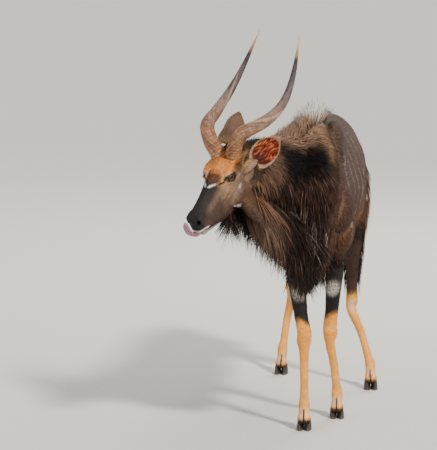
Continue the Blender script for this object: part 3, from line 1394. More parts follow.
@dataclass(frozen=True)
class Scalp:
    """The skin as the coat sees it: its triangles, and where each region lies."""

    corners: np.ndarray
    normals: np.ndarray
    areas: np.ndarray
    tree: BVHTree
    head: HeadFrame = HEAD

    @classmethod
    def of(cls, skin: bpy.types.Object) -> "Scalp":
        """Reads the triangles of a skin.

        Args:
            skin: the finished skin, in the CAD frame.

        Returns:
            The scalp, in the animal's frame.
        """
        mesh = skin.data
        mesh.calc_loop_triangles()
        index = np.empty(len(mesh.loop_triangles) * 3, np.int32)
        mesh.loop_triangles.foreach_get("vertices", index)
        rows = corners(mesh) - np.array(SHIFT)
        triangles = rows[index.reshape(-1, 3)]
        crossed = np.cross(triangles[:, 1] - triangles[:, 0], triangles[:, 2] - triangles[:, 0])
        areas = np.linalg.norm(crossed, axis=1) / 2
        tree = BVHTree.FromPolygons(rows.tolist(), index.reshape(-1, 3).tolist())
        return cls(triangles, unit(crossed), areas, tree)

    def region(self, places: np.ndarray) -> np.ndarray:
        """Name of the region of each place."""
        ahead = beyond(places, *COLLAR)
        behind = beyond(places, *NECK_ROOT)
        rows = self.head.local(places)
        found = np.full(len(places), Region.TRUNK.value, dtype="<U8")
        found[behind > 0] = Region.NECK.value
        found[(ahead > 0) & (np.abs(rows[:, 0]) < 0.12) & (rows[:, 2] > -0.20)] = Region.FACE.value
        tail = (places[:, 1] > 0.965) & (places[:, 2] > 0.56) & (np.abs(places[:, 0]) < 0.07)
        found[tail] = Region.TAIL.value
        found[(places[:, 2] < 0.545) & ~tail] = Region.LEGS.value
        return found

    def roots(self, count: int, seed: int, wanted: Density) -> Roots:
        """Random places spread evenly over the skin where wanted is above a random number.

        Args:
            count: places before wanted thins them.
            seed: choice among spreads.
            wanted: density from 0 to 1 for rows of places and normals.

        Returns:
            The roots that are left.
        """
        draw = np.random.default_rng(seed)
        middle = self.corners.mean(axis=1)
        weight = self.areas * np.clip(wanted(middle, self.normals), 0, 1)
        total = weight.sum()
        spots = (np.arange(count) + draw.random(count)) / count * total
        face = np.searchsorted(np.cumsum(weight), spots).clip(0, len(weight) - 1)
        a = np.sqrt(draw.random(count))[:, None]
        b = draw.random(count)[:, None]
        tri = self.corners[face]
        places = tri[:, 0] * (1 - a) + tri[:, 1] * a * (1 - b) + tri[:, 2] * a * b
        return Roots(places, self.normals[face])


@dataclass(frozen=True)
class TuftCut:
    """Size and carriage of one kind of tuft.

    Angles are in degrees above the skin at the root and at the tip. Fall is how far the tip turns
    down under its weight, and part how far neighbouring tufts stray from the lie.
    """

    length: float
    width: float
    thickness: float
    spans: int
    rise: float
    end: float
    fall: float = 0.0
    part: float = 0.15
    vary: float = 0.25
    shade: float = 0.16
    tip: float = 0.15
    clear: float = 0.0


@dataclass
class Coat:
    """Solid tufts made as one mesh from arrays."""

    name: str
    cut: TuftCut
    slot: str
    seed: int
    limit: int = 196000

    def triangles(self) -> int:
        """Triangles of one tuft."""
        return 6 * (self.cut.spans - 1) + 4

    def grow(self, roots: Roots, lie: Field, unwrap: Field, scalp: Scalp,
             scale: Optional[np.ndarray] = None, dye: Optional[Dye] = None) -> bpy.types.Object:
        """Grows a tuft on each root.

        Args:
            roots: where the tufts grow.
            lie: direction of the coat for rows of places.
            unwrap: place of each root on the flat plan of the skin.
            scalp: the skin, which long tufts keep clear of.
            scale: length of each tuft as a share of the usual one.
            dye: changes the colours at the tufts' roots.

        Returns:
            The coat piece, in the CAD frame.
        """
        draw = np.random.default_rng(self.seed)
        most = self.limit // self.triangles()
        if len(roots.places) > most:
            keep = np.sort(draw.permutation(len(roots.places))[:most])
            roots = roots.only(keep)
            scale = None if scale is None else scale[keep]
        count = len(roots.places)
        cut = self.cut
        vary = 1 + cut.vary * draw.uniform(-1, 1, count)
        length = cut.length * vary * (1.0 if scale is None else scale)
        width = cut.width * (1 + 0.25 * draw.uniform(-1, 1, count))
        normals = roots.normals
        way = lie(roots.places)
        way = way + cut.part * draw.normal(size=(count, 3))
        way = unit(way - normals * np.sum(way * normals, axis=1, keepdims=True))
        stations = [roots.places - normals * ROOT_DEPTH]
        rise = np.radians(cut.rise * (1 + 0.35 * draw.uniform(-1, 1, count)))
        end = np.radians(cut.end * (1 + 0.35 * draw.uniform(-1, 1, count)))
        down = np.array((0.0, 0.0, -1.0))
        ups = [normals]
        for k in range(cut.spans):
            share = (k + 0.5) / cut.spans
            angle = (rise + (end - rise) * share)[:, None]
            heading = way * np.cos(angle) + normals * np.sin(angle)
            heading = unit(heading * (1 - cut.fall * share) + down * cut.fall * share)
            here = stations[-1] + heading * (length / cut.spans)[:, None]
            if cut.clear > 0:
                here, normals_here = self.lifted(here, scalp, cut.clear * (0.5 + share))
                ups.append(normals_here)
            else:
                ups.append(normals)
            stations.append(here)
        return self.mesh(stations, ups, width, roots, unwrap, draw, dye)

    def lifted(self, places: np.ndarray, scalp: Scalp, height: float) -> tuple[np.ndarray, np.ndarray]:
        """Moves places out to at least a height over the skin, and gives the skin's way out there."""
        out = places.copy()
        ways = np.empty_like(places)
        for i, place in enumerate(places):
            near, normal, _, _ = scalp.tree.find_nearest(place)
            ways[i] = normal
            gap = (Vector(place) - near).dot(normal)
            if gap < height:
                out[i] = near + normal * height
        return out, ways

    def mesh(self, stations: list[np.ndarray], ups: list[np.ndarray], width: np.ndarray, roots: Roots,
             unwrap: Field, draw: np.random.Generator, dye: Optional[Dye]) -> bpy.types.Object:
        """Joins three-sided tapered tufts along their stations into one object."""
        cut = self.cut
        count = len(width)
        spans = cut.spans
        taper = [1 - (k / spans) ** 1.6 for k in range(spans)]
        points = []
        for k in range(spans):
            travel = unit(stations[k + 1] - stations[k])
            across = unit(np.cross(travel, ups[k]))
            face = np.cross(across, travel)
            half = (width * taper[k] / 2)[:, None]
            thick = cut.thickness * taper[k]
            here = stations[k]
            points += [here + across * half, here + face * thick, here - across * half]
        points.append(stations[-1])
        per = 3 * spans + 1
        vertices = np.stack(points, axis=1).reshape(-1, 3) + np.array(SHIFT)
        faces = [(0, 1, 2)]
        for k in range(spans - 1):
            for j in range(3):
                a, b = 3 * k + j, 3 * k + (j + 1) % 3
                faces += [(a, b + 3, b), (a, a + 3, b + 3)]
        last = 3 * (spans - 1)
        faces += [(last + (j + 1) % 3, last + j, per - 1) for j in range(3)]
        index = (np.array(faces)[None] + (np.arange(count) * per)[:, None, None]).reshape(-1)
        mesh = bpy.data.meshes.new(self.name)
        mesh.vertices.add(len(vertices))
        mesh.vertices.foreach_set("co", vertices.ravel())
        mesh.loops.add(len(index))
        mesh.loops.foreach_set("vertex_index", index.astype(np.int32))
        mesh.polygons.add(len(index) // 3)
        mesh.polygons.foreach_set("loop_start", np.arange(0, len(index), 3, dtype=np.int32))
        mesh.polygons.foreach_set("use_smooth", np.ones(len(index) // 3, bool))
        mesh.update(calc_edges=True)
        base = MARKINGS.of(roots.places)
        if dye is not None:
            base = dye(roots.places, base, draw)
        shade = 1 + cut.shade * draw.normal(size=(count, 1)).clip(-2, 2)
        along = np.array([k / spans for k in range(spans) for _ in range(3)] + [1.0])
        tone = (1 - ROOT_SHADE * (1 - along) ** 2 + cut.tip * along ** 2)[None, :, None]
        colours = (base * shade)[:, None, :] * tone
        paint(mesh, colours.reshape(-1, 3).clip(0.001, 0.95))
        plan = unwrap(roots.places)
        spread = np.array([((j % 3) - 1) * PLAN_HALF_WIDTH for j in range(3 * spans)] + [0.0])
        reach = (along - 0.5) * PLAN_HEIGHT
        flat = plan[:, None, :] + np.stack([np.broadcast_to(spread, (count, per)),
                                            np.broadcast_to(reach, (count, per))], axis=2)
        layer = mesh.uv_layers.new(name="OFBake")
        layer.uv.foreach_set("vector", flat.reshape(-1, 2)[index].astype(np.float32).ravel())
        obj = bpy.data.objects.new(self.name, mesh)
        bpy.context.scene.collection.objects.link(obj)
        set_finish(obj, self.slot)
        LOG.info("%s: %d tufts, %d triangles", self.name, count, len(index) // 3)
        return obj


def plan_of(around: np.ndarray, along: np.ndarray) -> np.ndarray:
    """Flat plan of a part of the skin, from its turn round an axis in radians and its way along."""
    low, high = along.min(), max(along.max(), along.min() + 1e-6)
    u = (around / (2 * math.pi)) % 1.0
    v = (along - low) / (high - low)
    return PLAN_MARGIN + (1 - 2 * PLAN_MARGIN) * np.column_stack([u, v])


# Number of tufts in each piece of the coat at full density.
TUFTS = {"trunk": 24000, "neck": 27000, "face": 47000, "legs": 29000, "ruff": 8000, "fringe": 5200,
         "crest": 6000, "breeches": 4800, "tail": 4600, "ear": 5200}


@dataclass
class Groom:
    """The whole coat, region by region, with the lie, length and colour of its hair."""

    scalp: Scalp
    head: HeadFrame = HEAD
    share: float = 1.0

    def lie_of_trunk(self, places: np.ndarray) -> np.ndarray:
        """Back and down over the body, and straight down the haunch."""
        y, z = places[:, 1], places[:, 2]
        back = 1.0 - 0.45 * step(0.62, 0.85, y)
        down = -(0.30 + 0.65 * step(0.85, 0.62, z) + 0.5 * step(0.62, 0.85, y))
        side = 0.10 * np.sin(y * 9 + z * 7)
        return np.column_stack([np.zeros(len(y)), back + side, down])

    def lie_of_neck(self, places: np.ndarray) -> np.ndarray:
        """From the cheeks back along the neck, bending down into the ruff."""
        z = places[:, 2]
        under = step(0.96, 0.80, z)[:, None]
        level = np.array((0.46, 0.72, -0.62))
        drop = np.array((-0.04, -0.10, -1.0))
        sway = 0.16 * np.column_stack([wobble(places, 0.10, 11), wobble(places, 0.10, 12),
                                       np.zeros(len(z))])
        return level * (1 - under) + drop * under + sway

    def lie_of_face(self, places: np.ndarray) -> np.ndarray:
        """From the nose up and back, parted round the eyes."""
        rows = self.head.local(places)
        side = np.sign(rows[:, 0])
        local = np.column_stack([0.25 * side, -np.ones(len(rows)), -0.25 + 0 * side])
        return local @ np.array(self.head.axes).T

    def lie_of_legs(self, places: np.ndarray) -> np.ndarray:
        """Straight down."""
        return np.column_stack([0 * places[:, 0], 0.10 + 0 * places[:, 1], -np.ones(len(places))])

    def lie_of_tail(self, places: np.ndarray) -> np.ndarray:
        """Down the tail and a little out."""
        return np.column_stack([places[:, 0] * 2, 0.10 * np.sign(places[:, 1] - 1.018),
                                -np.ones(len(places))])

    def plan_trunk(self, places: np.ndarray) -> np.ndarray:
        """Flat plan round the axis of the trunk."""
        around = np.arctan2(places[:, 0], places[:, 2] - 0.79)
        return plan_of(around + math.pi, places[:, 1])

    def plan_neck(self, places: np.ndarray) -> np.ndarray:
        """Flat plan round the axis of the neck."""
        axis = unit(np.array([[-0.55, -0.80, 0.22]]))[0]
        level = unit(np.array([[0.82, -0.56, 0.0]]))[0]
        up = np.cross(level, axis)
        rows = places - np.array((-0.09, -0.18, 0.87))
        return plan_of(np.arctan2(rows @ level, rows @ up) + math.pi, rows @ axis)

    def plan_face(self, places: np.ndarray) -> np.ndarray:
        """Flat plan round the axis of the head."""
        rows = self.head.local(places)
        return plan_of(np.arctan2(rows[:, 0], rows[:, 2] + 0.065) + math.pi, rows[:, 1])

    def plan_legs(self, places: np.ndarray) -> np.ndarray:
        """Four flat plans side by side, each round its own leg."""
        best = np.full(len(places), 1e9)
        plan = np.zeros((len(places), 2))
        for number, leg in enumerate(LEGS):
            hoof, joint = np.array(leg.hoof), np.array(leg.joint)
            share = np.clip(places[:, 2] / joint[2], 0, 1)[:, None]
            offset = places[:, :2] - (hoof[:2] + (joint[:2] - hoof[:2]) * share)
            away = np.linalg.norm(offset, axis=1)
            turn = (np.arctan2(offset[:, 1], offset[:, 0]) / (2 * math.pi)) % 1.0
            mine = away < best
            best[mine] = away[mine]
            u = PLAN_MARGIN + (number + 0.98 * turn) * 0.248
            v = PLAN_MARGIN + (1 - 2 * PLAN_MARGIN) * np.clip(places[:, 2] / 0.56, 0, 1)
            plan[mine] = np.column_stack([u, v])[mine]
        return plan

    def plan_tail(self, places: np.ndarray) -> np.ndarray:
        """Flat plan round the tail."""
        return plan_of(np.arctan2(places[:, 0], places[:, 1] - 1.018) + math.pi, places[:, 2])

    def in_region(self, region: Region) -> Density:
        """Density that is 1 in one region."""
        return lambda places, normals: (self.scalp.region(places) == region.value).astype(float)

    def roots(self, piece: str, seed: int, density: Density) -> Roots:
        """Roots of one piece of long coat on the body."""
        return self.scalp.roots(int(TUFTS[piece] * self.share), seed, density)

    def short(self, name: str, region: Region, cut: TuftCut, count: int, seed: int, slot: str,
              lie: Field, plan: Field, wanted: Optional[Density] = None,
              size: Optional[Field] = None) -> bpy.types.Object:
        """One piece of short coat over a region, where wanted allows it and as long as size says."""
        inside = self.in_region(region)

        def density(places: np.ndarray, normals: np.ndarray) -> np.ndarray:
            """Density of the piece."""
            value = inside(places, normals)
            return value if wanted is None else value * wanted(places, normals)

        roots = self.scalp.roots(int(count * self.share), seed, density)
        scale = None if size is None else size(roots.places)
        return Coat(name, cut, slot, seed).grow(roots, lie, plan, self.scalp, scale, self.ticked)

    def ticked(self, places: np.ndarray, base: np.ndarray, draw: np.random.Generator) -> np.ndarray:
        """Pale tips on some of the hairs of the trunk."""
        pale = (draw.random(len(places)) < 0.16) & (self.scalp.region(places) == Region.TRUNK.value)
        share = pale[:, None] * 0.22 * draw.random((len(places), 1))
        return base * (1 - share) + Hue.STREAK.array * share

    def body(self) -> list[bpy.types.Object]:
        """Short coat of the trunk in four pieces, and the undercoat of the neck."""
        cut = TuftCut(0.018, 0.0034, 0.0009, 1, 11, 11, part=0.12, shade=0.24, tip=0.30)
        pieces = []
        quarters = ((1, -9, 0.30), (1, 0.30, 9), (-1, -9, 0.30), (-1, 0.30, 9))
        for number, (side, low, high) in enumerate(quarters):
            def wanted(places: np.ndarray, normals: np.ndarray, side: int = side, low: float = low,
                       high: float = high) -> np.ndarray:
                """One quarter of the trunk."""
                return ((places[:, 0] * side >= 0) & (places[:, 1] >= low)
                        & (places[:, 1] < high)).astype(float)
            pieces.append(self.short(f"coat_trunk_{number + 1}", Region.TRUNK, cut, TUFTS["trunk"],
                                     100 + number, "body_coat", self.lie_of_trunk, self.plan_trunk,
                                     wanted))
        neck = TuftCut(0.026, 0.0030, 0.0009, 1, 12, 12, part=0.12, shade=0.16, tip=0.2)
        pieces.append(self.short("coat_neck", Region.NECK, neck, TUFTS["neck"], 110, "body_coat",
                                 self.lie_of_neck, self.plan_neck))
        return pieces

    def face(self) -> bpy.types.Object:
        """Fine short coat of the head, none on the nose, lips and eyes."""
        cut = TuftCut(0.0082, 0.0016, 0.0005, 1, 13, 13, part=0.15, shade=0.28, tip=0.15)

        def wanted(places: np.ndarray, normals: np.ndarray) -> np.ndarray:
            """Everywhere but the bare skin and the insides of the sockets."""
            clear = 1 - MARKINGS.leather(places)
            for side in (1, -1):
                around = EYE.around(self.head, side, places)
                ring = EYE.ring(around)
                clear = clear * np.where((np.linalg.norm(around, axis=1) < 0.034) & (around[:, 2] > 0),
                                         step(1.2, 1.45, ring), 1.0)
            rows = self.head.local(places)
            lip = self.head.lip(rows[:, 1])
            mouth = step(0.0030, 0.0050, np.abs(rows[:, 2] - lip))
            return clear * np.where(rows[:, 1] > 0.206, mouth, 1.0)

        def size(places: np.ndarray) -> np.ndarray:
            """Shortest on the muzzle, longer on the cheek, longest round the horns and the jaw."""
            rows = self.head.local(places)
            horns = blob(np.abs(rows), (0.034, 0.010, 0.010), (0.036, 0.040, 0.060), 0.8)
            back = step(0.12, 0.02, rows[:, 1])
            low = step(-0.10, -0.14, rows[:, 2]) * step(0.15, 0.11, rows[:, 1])
            high = step(-0.045, -0.020, rows[:, 2])
            return 0.62 + 0.38 * step(0.22, 0.12, rows[:, 1]) + 0.45 * back + 0.65 * horns * high + 1.7 * low

        return self.short("coat_face", Region.FACE, cut, TUFTS["face"], 120, "face_coat",
                          self.lie_of_face, self.plan_face, wanted, size)

    def legs(self) -> bpy.types.Object:
        """Fine coat of the legs."""
        cut = TuftCut(0.010, 0.0020, 0.0006, 1, 10, 10, part=0.08, shade=0.13, tip=0.10)
        return self.short("coat_legs", Region.LEGS, cut, TUFTS["legs"], 130, "leg_coat",
                          self.lie_of_legs, self.plan_legs)

    def ruff(self) -> list[bpy.types.Object]:
        """Long hair of the neck, throat and jaw, in three layers that grow finer outwards."""
        pieces = []
        layers = ((0.118, 0.0046, 0.004, 201), (0.108, 0.0035, 0.009, 202), (0.100, 0.0027, 0.014, 203))
        for number, (length, width, clear, seed) in enumerate(layers):
            roots = self.roots("ruff", seed, self.ruff_density)
            cut = TuftCut(length, width, 0.0014, 3, 26, 5, fall=0.30, part=0.11, shade=0.20, tip=0.30,
                          clear=clear)
            scale = self.ruff_scale(roots.places)
            coat = Coat(f"ruff_{number + 1}", cut, "long_coat", seed)
            pieces.append(coat.grow(roots, self.lie_of_ruff, self.plan_neck, self.scalp, scale,
                                    self.strands))
        return pieces

    def ruff_density(self, places: np.ndarray, normals: np.ndarray) -> np.ndarray:
        """Long hair grows on the lower neck, the throat and the angle of the jaw."""
        region = self.scalp.region(places)
        rows = self.head.local(places)
        neck = (region == Region.NECK.value) * step(1.00, 0.93, places[:, 2])
        under = rows[:, 2] - 0.30 * np.maximum(rows[:, 1] - 0.10, 0)
        jaw = (region == Region.FACE.value) * step(-0.160, -0.172, under) * step(0.150, 0.125, rows[:, 1])
        jaw = jaw * step(0.022, 0.012, np.abs(rows[:, 0]))
        chest = (region == Region.TRUNK.value) * step(-0.08, -0.13, places[:, 1])
        chest = chest * step(0.84, 0.76, places[:, 2])
        ahead = beyond(places, *COLLAR)
        neck = neck * (1 - step(-0.045, -0.005, ahead) * step(0.82, 0.86, places[:, 2]))
        edge = places[:, 0] + 0.008 * wobble(places, 0.05, 13) - 0.06 * step(0.74, 0.66, places[:, 2])
        return np.maximum(np.maximum(neck, jaw), chest) * step(0.045, 0.015, edge)

    def ruff_scale(self, places: np.ndarray) -> np.ndarray:
        """Length of the long hair: short behind the ears and on the jaw, full down the throat."""
        rows = self.head.local(places)
        z = places[:, 2]
        scale = 0.34 + 0.66 * step(0.935, 0.80, z)
        jaw = step(-0.015, 0.035, rows[:, 1]) * (np.abs(rows[:, 0]) < 0.12) * step(-0.22, -0.19, rows[:, 2])
        scale = np.where(jaw > 0.5, 1.20 - 0.55 * step(0.08, 0.13, rows[:, 1]), scale)
        ahead = beyond(places, *COLLAR)
        scale *= 1 - 0.60 * step(-0.065, -0.010, ahead) * step(0.84, 0.88, z)
        chest = step(-0.20, -0.12, places[:, 1]) * step(0.78, 0.70, z)
        low = step(0.68, 0.63, z) * step(-0.22, -0.17, places[:, 1])
        return scale * (1 - 0.25 * chest) * (1 - 0.58 * low)

    def lie_of_ruff(self, places: np.ndarray) -> np.ndarray:
        """As the neck's coat, but the beard under the jaw hangs straight down."""
        rows = self.head.local(places)
        beard = (step(-0.02, 0.03, rows[:, 1]) * (rows[:, 2] > -0.22) * (rows[:, 2] < -0.09))[:, None]
        return self.lie_of_neck(places) * (1 - beard) + np.array((0.18, 0.20, -1.0)) * beard

    def strands(self, places: np.ndarray, base: np.ndarray, draw: np.random.Generator) -> np.ndarray:
        """Turns some locks of the ruff brown, more of them towards the jaw and the upper side."""
        rows = self.head.local(places)
        beard = (self.scalp.region(places) == Region.FACE.value)[:, None]
        base = base * ~beard + Hue.UMBER.array * (0.5 + 0.5 * draw.random((len(places), 1))) * beard
        jaw = step(0.10, 0.04, np.linalg.norm(rows - np.array((0.05, 0.02, -0.13)), axis=1))
        jaw *= step(0.02, 0.035, np.abs(rows[:, 0]))
        upper = step(0.72, 0.90, places[:, 2]) * step(0.04, -0.10, places[:, 1])
        lucky = (draw.random(len(places)) < 0.12 + 0.12 * upper)[:, None]
        patch = blob(places, (-0.050, -0.225, 0.926), (0.13, 0.085, 0.040), 0.9)[:, None]
        share = lucky * (0.15 + 0.45 * draw.random((len(places), 1))) * (1 - 0.9 * patch)
        warm = (draw.random(len(places)) < 0.40 * jaw)[:, None] * 0.34
        mixed = base * (1 - share) + Hue.STRAND.array * share
        front = band(places, ((-0.025, -0.25, 0.80), (-0.005, -0.235, 0.75), (0.020, -0.18, 0.68)),
                     0.030, 0.9)
        grey = ((draw.random(len(places)) < 0.55 * front) * draw.uniform(0.3, 0.9, len(places)))[:, None]
        mixed = mixed * (1 - grey) + Hue.STREAK.array * grey
        return mixed * (1 - warm) + Hue.JAW.array * warm

    def fringe(self) -> bpy.types.Object:
        """Long hair under the chest and belly."""
        cut = TuftCut(0.100, 0.0045, 0.0016, 3, 45, 20, fall=0.75, part=0.16, shade=0.2, tip=0.35,
                      clear=0.006)

        def density(places: np.ndarray, normals: np.ndarray) -> np.ndarray:
            """The middle of the belly and the chest."""
            belly = (np.abs(places[:, 0]) < 0.045) & (normals[:, 2] < 0.2)
            belly &= (places[:, 2] < 0.64) & (places[:, 1] < 0.72)
            return belly.astype(float) * (self.scalp.region(places) == Region.TRUNK.value)

        def lie(places: np.ndarray) -> np.ndarray:
            """Down and a little back."""
            return np.column_stack([places[:, 0] * 1.2, 0.24 + 0 * places[:, 1], -np.ones(len(places))])

        roots = self.roots("fringe", 210, density)
        scale = 0.62 + 0.45 * step(-0.10, 0.15, roots.places[:, 1])
        return Coat("fringe", cut, "long_coat", 210).grow(roots, lie, self.plan_trunk, self.scalp, scale)

    def crest(self) -> bpy.types.Object:
        """Standing crest of the nape, withers and back."""
        cut = TuftCut(0.046, 0.0032, 0.0012, 2, 66, 36, fall=0.0, part=0.12, shade=0.22, tip=0.25)

        def density(places: np.ndarray, normals: np.ndarray) -> np.ndarray:
            """A band along the ridge."""
            trunk = step(0.016, 0.004, np.abs(places[:, 0])) * (normals[:, 2] > 0.3)
            trunk *= (places[:, 2] > 0.93) & (places[:, 1] > -0.05)
            nape = band(places, ((-0.115, -0.185, 1.0), (-0.075, -0.14, 1.01), (0.0, -0.03, 1.05)),
                        0.034, 0.5)
            return np.maximum(trunk, nape * (normals[:, 2] > 0.2))

        def lie(places: np.ndarray) -> np.ndarray:
            """Back along the ridge."""
            y = places[:, 1]
            return np.column_stack([0.45 * step(-0.05, -0.15, y), np.ones(len(y)),
                                    0.5 * step(0.0, -0.05, y)])

        roots = self.roots("crest", 220, density)
        y = roots.places[:, 1]
        scale = 0.34 + 1.05 * np.exp(-((y + 0.01) / 0.060) ** 2)
        scale = np.where(y < -0.02, 1.20 - 0.9 * step(-0.12, -0.20, y), scale)
        scale += 0.35 * np.exp(-((y + 0.005) / 0.035) ** 2) * step(0.016, 0.006, np.abs(roots.places[:, 0]))

        def peak(places: np.ndarray, base: np.ndarray, draw: np.random.Generator) -> np.ndarray:
            """White at the top of the withers, and every shade of brown before it."""
            white = band(places, ((-0.03, -0.060, 1.04), (-0.01, -0.01, 1.06), (0.0, 0.05, 1.06)),
                         0.040, 0.5)
            white = (white * (draw.random(len(places)) < 0.75))[:, None]
            dark = 1 - 0.45 * (draw.random((len(places), 1)) < 0.25)
            return base * dark * (1 - white) + Hue.WHITE.array * white

        return Coat("crest", cut, "long_coat", 220).grow(roots, lie, self.plan_trunk, self.scalp, scale,
                                                         peak)

    def breeches(self) -> bpy.types.Object:
        """Long hair down the back of the thighs."""
        cut = TuftCut(0.060, 0.0040, 0.0014, 3, 18, 5, fall=0.45, part=0.10, shade=0.18, tip=0.3,
                      clear=0.003)

        def density(places: np.ndarray, normals: np.ndarray) -> np.ndarray:
            """Back and outer side of the thigh."""
            y, z = places[:, 1], places[:, 2]
            thigh = (y > 0.68) & (y < 1.06) & (z > 0.38) & (z < 0.80)
            off_tail = self.scalp.region(places) != Region.TAIL.value
            return thigh * step(-0.25, 0.35, normals[:, 1]) * off_tail

        roots = self.roots("breeches", 230, density)
        return Coat("breeches", cut, "long_coat", 230).grow(roots, self.lie_of_legs, self.plan_trunk,
                                                            self.scalp)

    def tail(self) -> bpy.types.Object:
        """Bushy hair of the tail."""
        cut = TuftCut(0.095, 0.0042, 0.0015, 3, 30, 10, fall=0.45, part=0.12, shade=0.18, tip=0.3,
                      clear=0.003)
        roots = self.roots("tail", 240, self.in_region(Region.TAIL))
        return Coat("tail_hair", cut, "long_coat", 240).grow(roots, self.lie_of_tail, self.plan_tail,
                                                             self.scalp)

    def ear(self, which: EarSide, obj: bpy.types.Object) -> bpy.types.Object:
        """Short hair on the back of an ear, and pale longer hair on its rim and root."""
        shell = Ear()
        root, axis, out, across = shell.frame(which)
        axes = np.array(Matrix((across, out, axis)).transposed())
        skin = Scalp.of(obj)

        def local(places: np.ndarray) -> np.ndarray:
            """Rows of across, out and along the ear."""
            return (places - np.array(root)) @ axes

        def rim(places: np.ndarray) -> np.ndarray:
            """Mask of the edge of the cup."""
            rows = local(places)
            along = (rows[:, 2] - 0.5 * shell.length) / (0.5 * shell.length)
            return step(0.72, 0.92, np.hypot(rows[:, 0] / shell.half_width, along))

        def density(places: np.ndarray, normals: np.ndarray) -> np.ndarray:
            """Everywhere but deep inside the cup."""
            facing = normals @ np.array(out)
            return np.maximum(step(0.25, -0.05, facing), 0.45 * rim(places))

        def lie(places: np.ndarray) -> np.ndarray:
            """Towards the tip, and out over the edge."""
            rows = local(places)
            side = np.clip(rows[:, :1] / shell.half_width, -1, 1)
            return np.array(axis) + np.array(across) * side * 0.9

        def plan(places: np.ndarray) -> np.ndarray:
            """Flat plan round the ear."""
            rows = local(places)
            return plan_of(np.arctan2(rows[:, 0], rows[:, 1] - 0.02) + math.pi, rows[:, 2])

        def dye(places: np.ndarray, base: np.ndarray, draw: np.random.Generator) -> np.ndarray:
            """Grey-brown, pale on the rim and root, dark at the top of the back."""
            rows = local(places)
            low = step(0.26, 0.12, rows[:, 2] / shell.length)
            pale = np.maximum(0.85 * rim(places) * (draw.random(len(places)) < 0.8), 0.40 * low)[:, None]
            colour = Hue.CHEEK.array * (0.70 + 0.3 * draw.random((len(places), 1)))
            light = 0.65 + 0.35 * draw.random((len(places), 1))
            return colour * (1 - pale) + Hue.CREAM.array * light * pale

        roots = skin.roots(int(TUFTS["ear"] * self.share), 250, density)
        rows = local(roots.places)
        scale = 0.8 + 0.15 * rim(roots.places) + 0.6 * step(0.24, 0.10, rows[:, 2] / shell.length)
        cut = TuftCut(0.0062, 0.0011, 0.0004, 1, 11, 11, part=0.20, shade=0.18, tip=0.1)
        name = "hair_of_ear_left" if which is EarSide.LEFT else "hair_of_ear_right"
        return Coat(name, cut, "face_coat", 250).grow(roots, lie, plan, skin, scale, dye)

    def build(self) -> list[bpy.types.Object]:
        """Every piece of the coat."""
        return [*self.body(), self.face(), self.legs(), *self.ruff(), self.fringe(), self.crest(),
                self.breeches(), self.tail()]
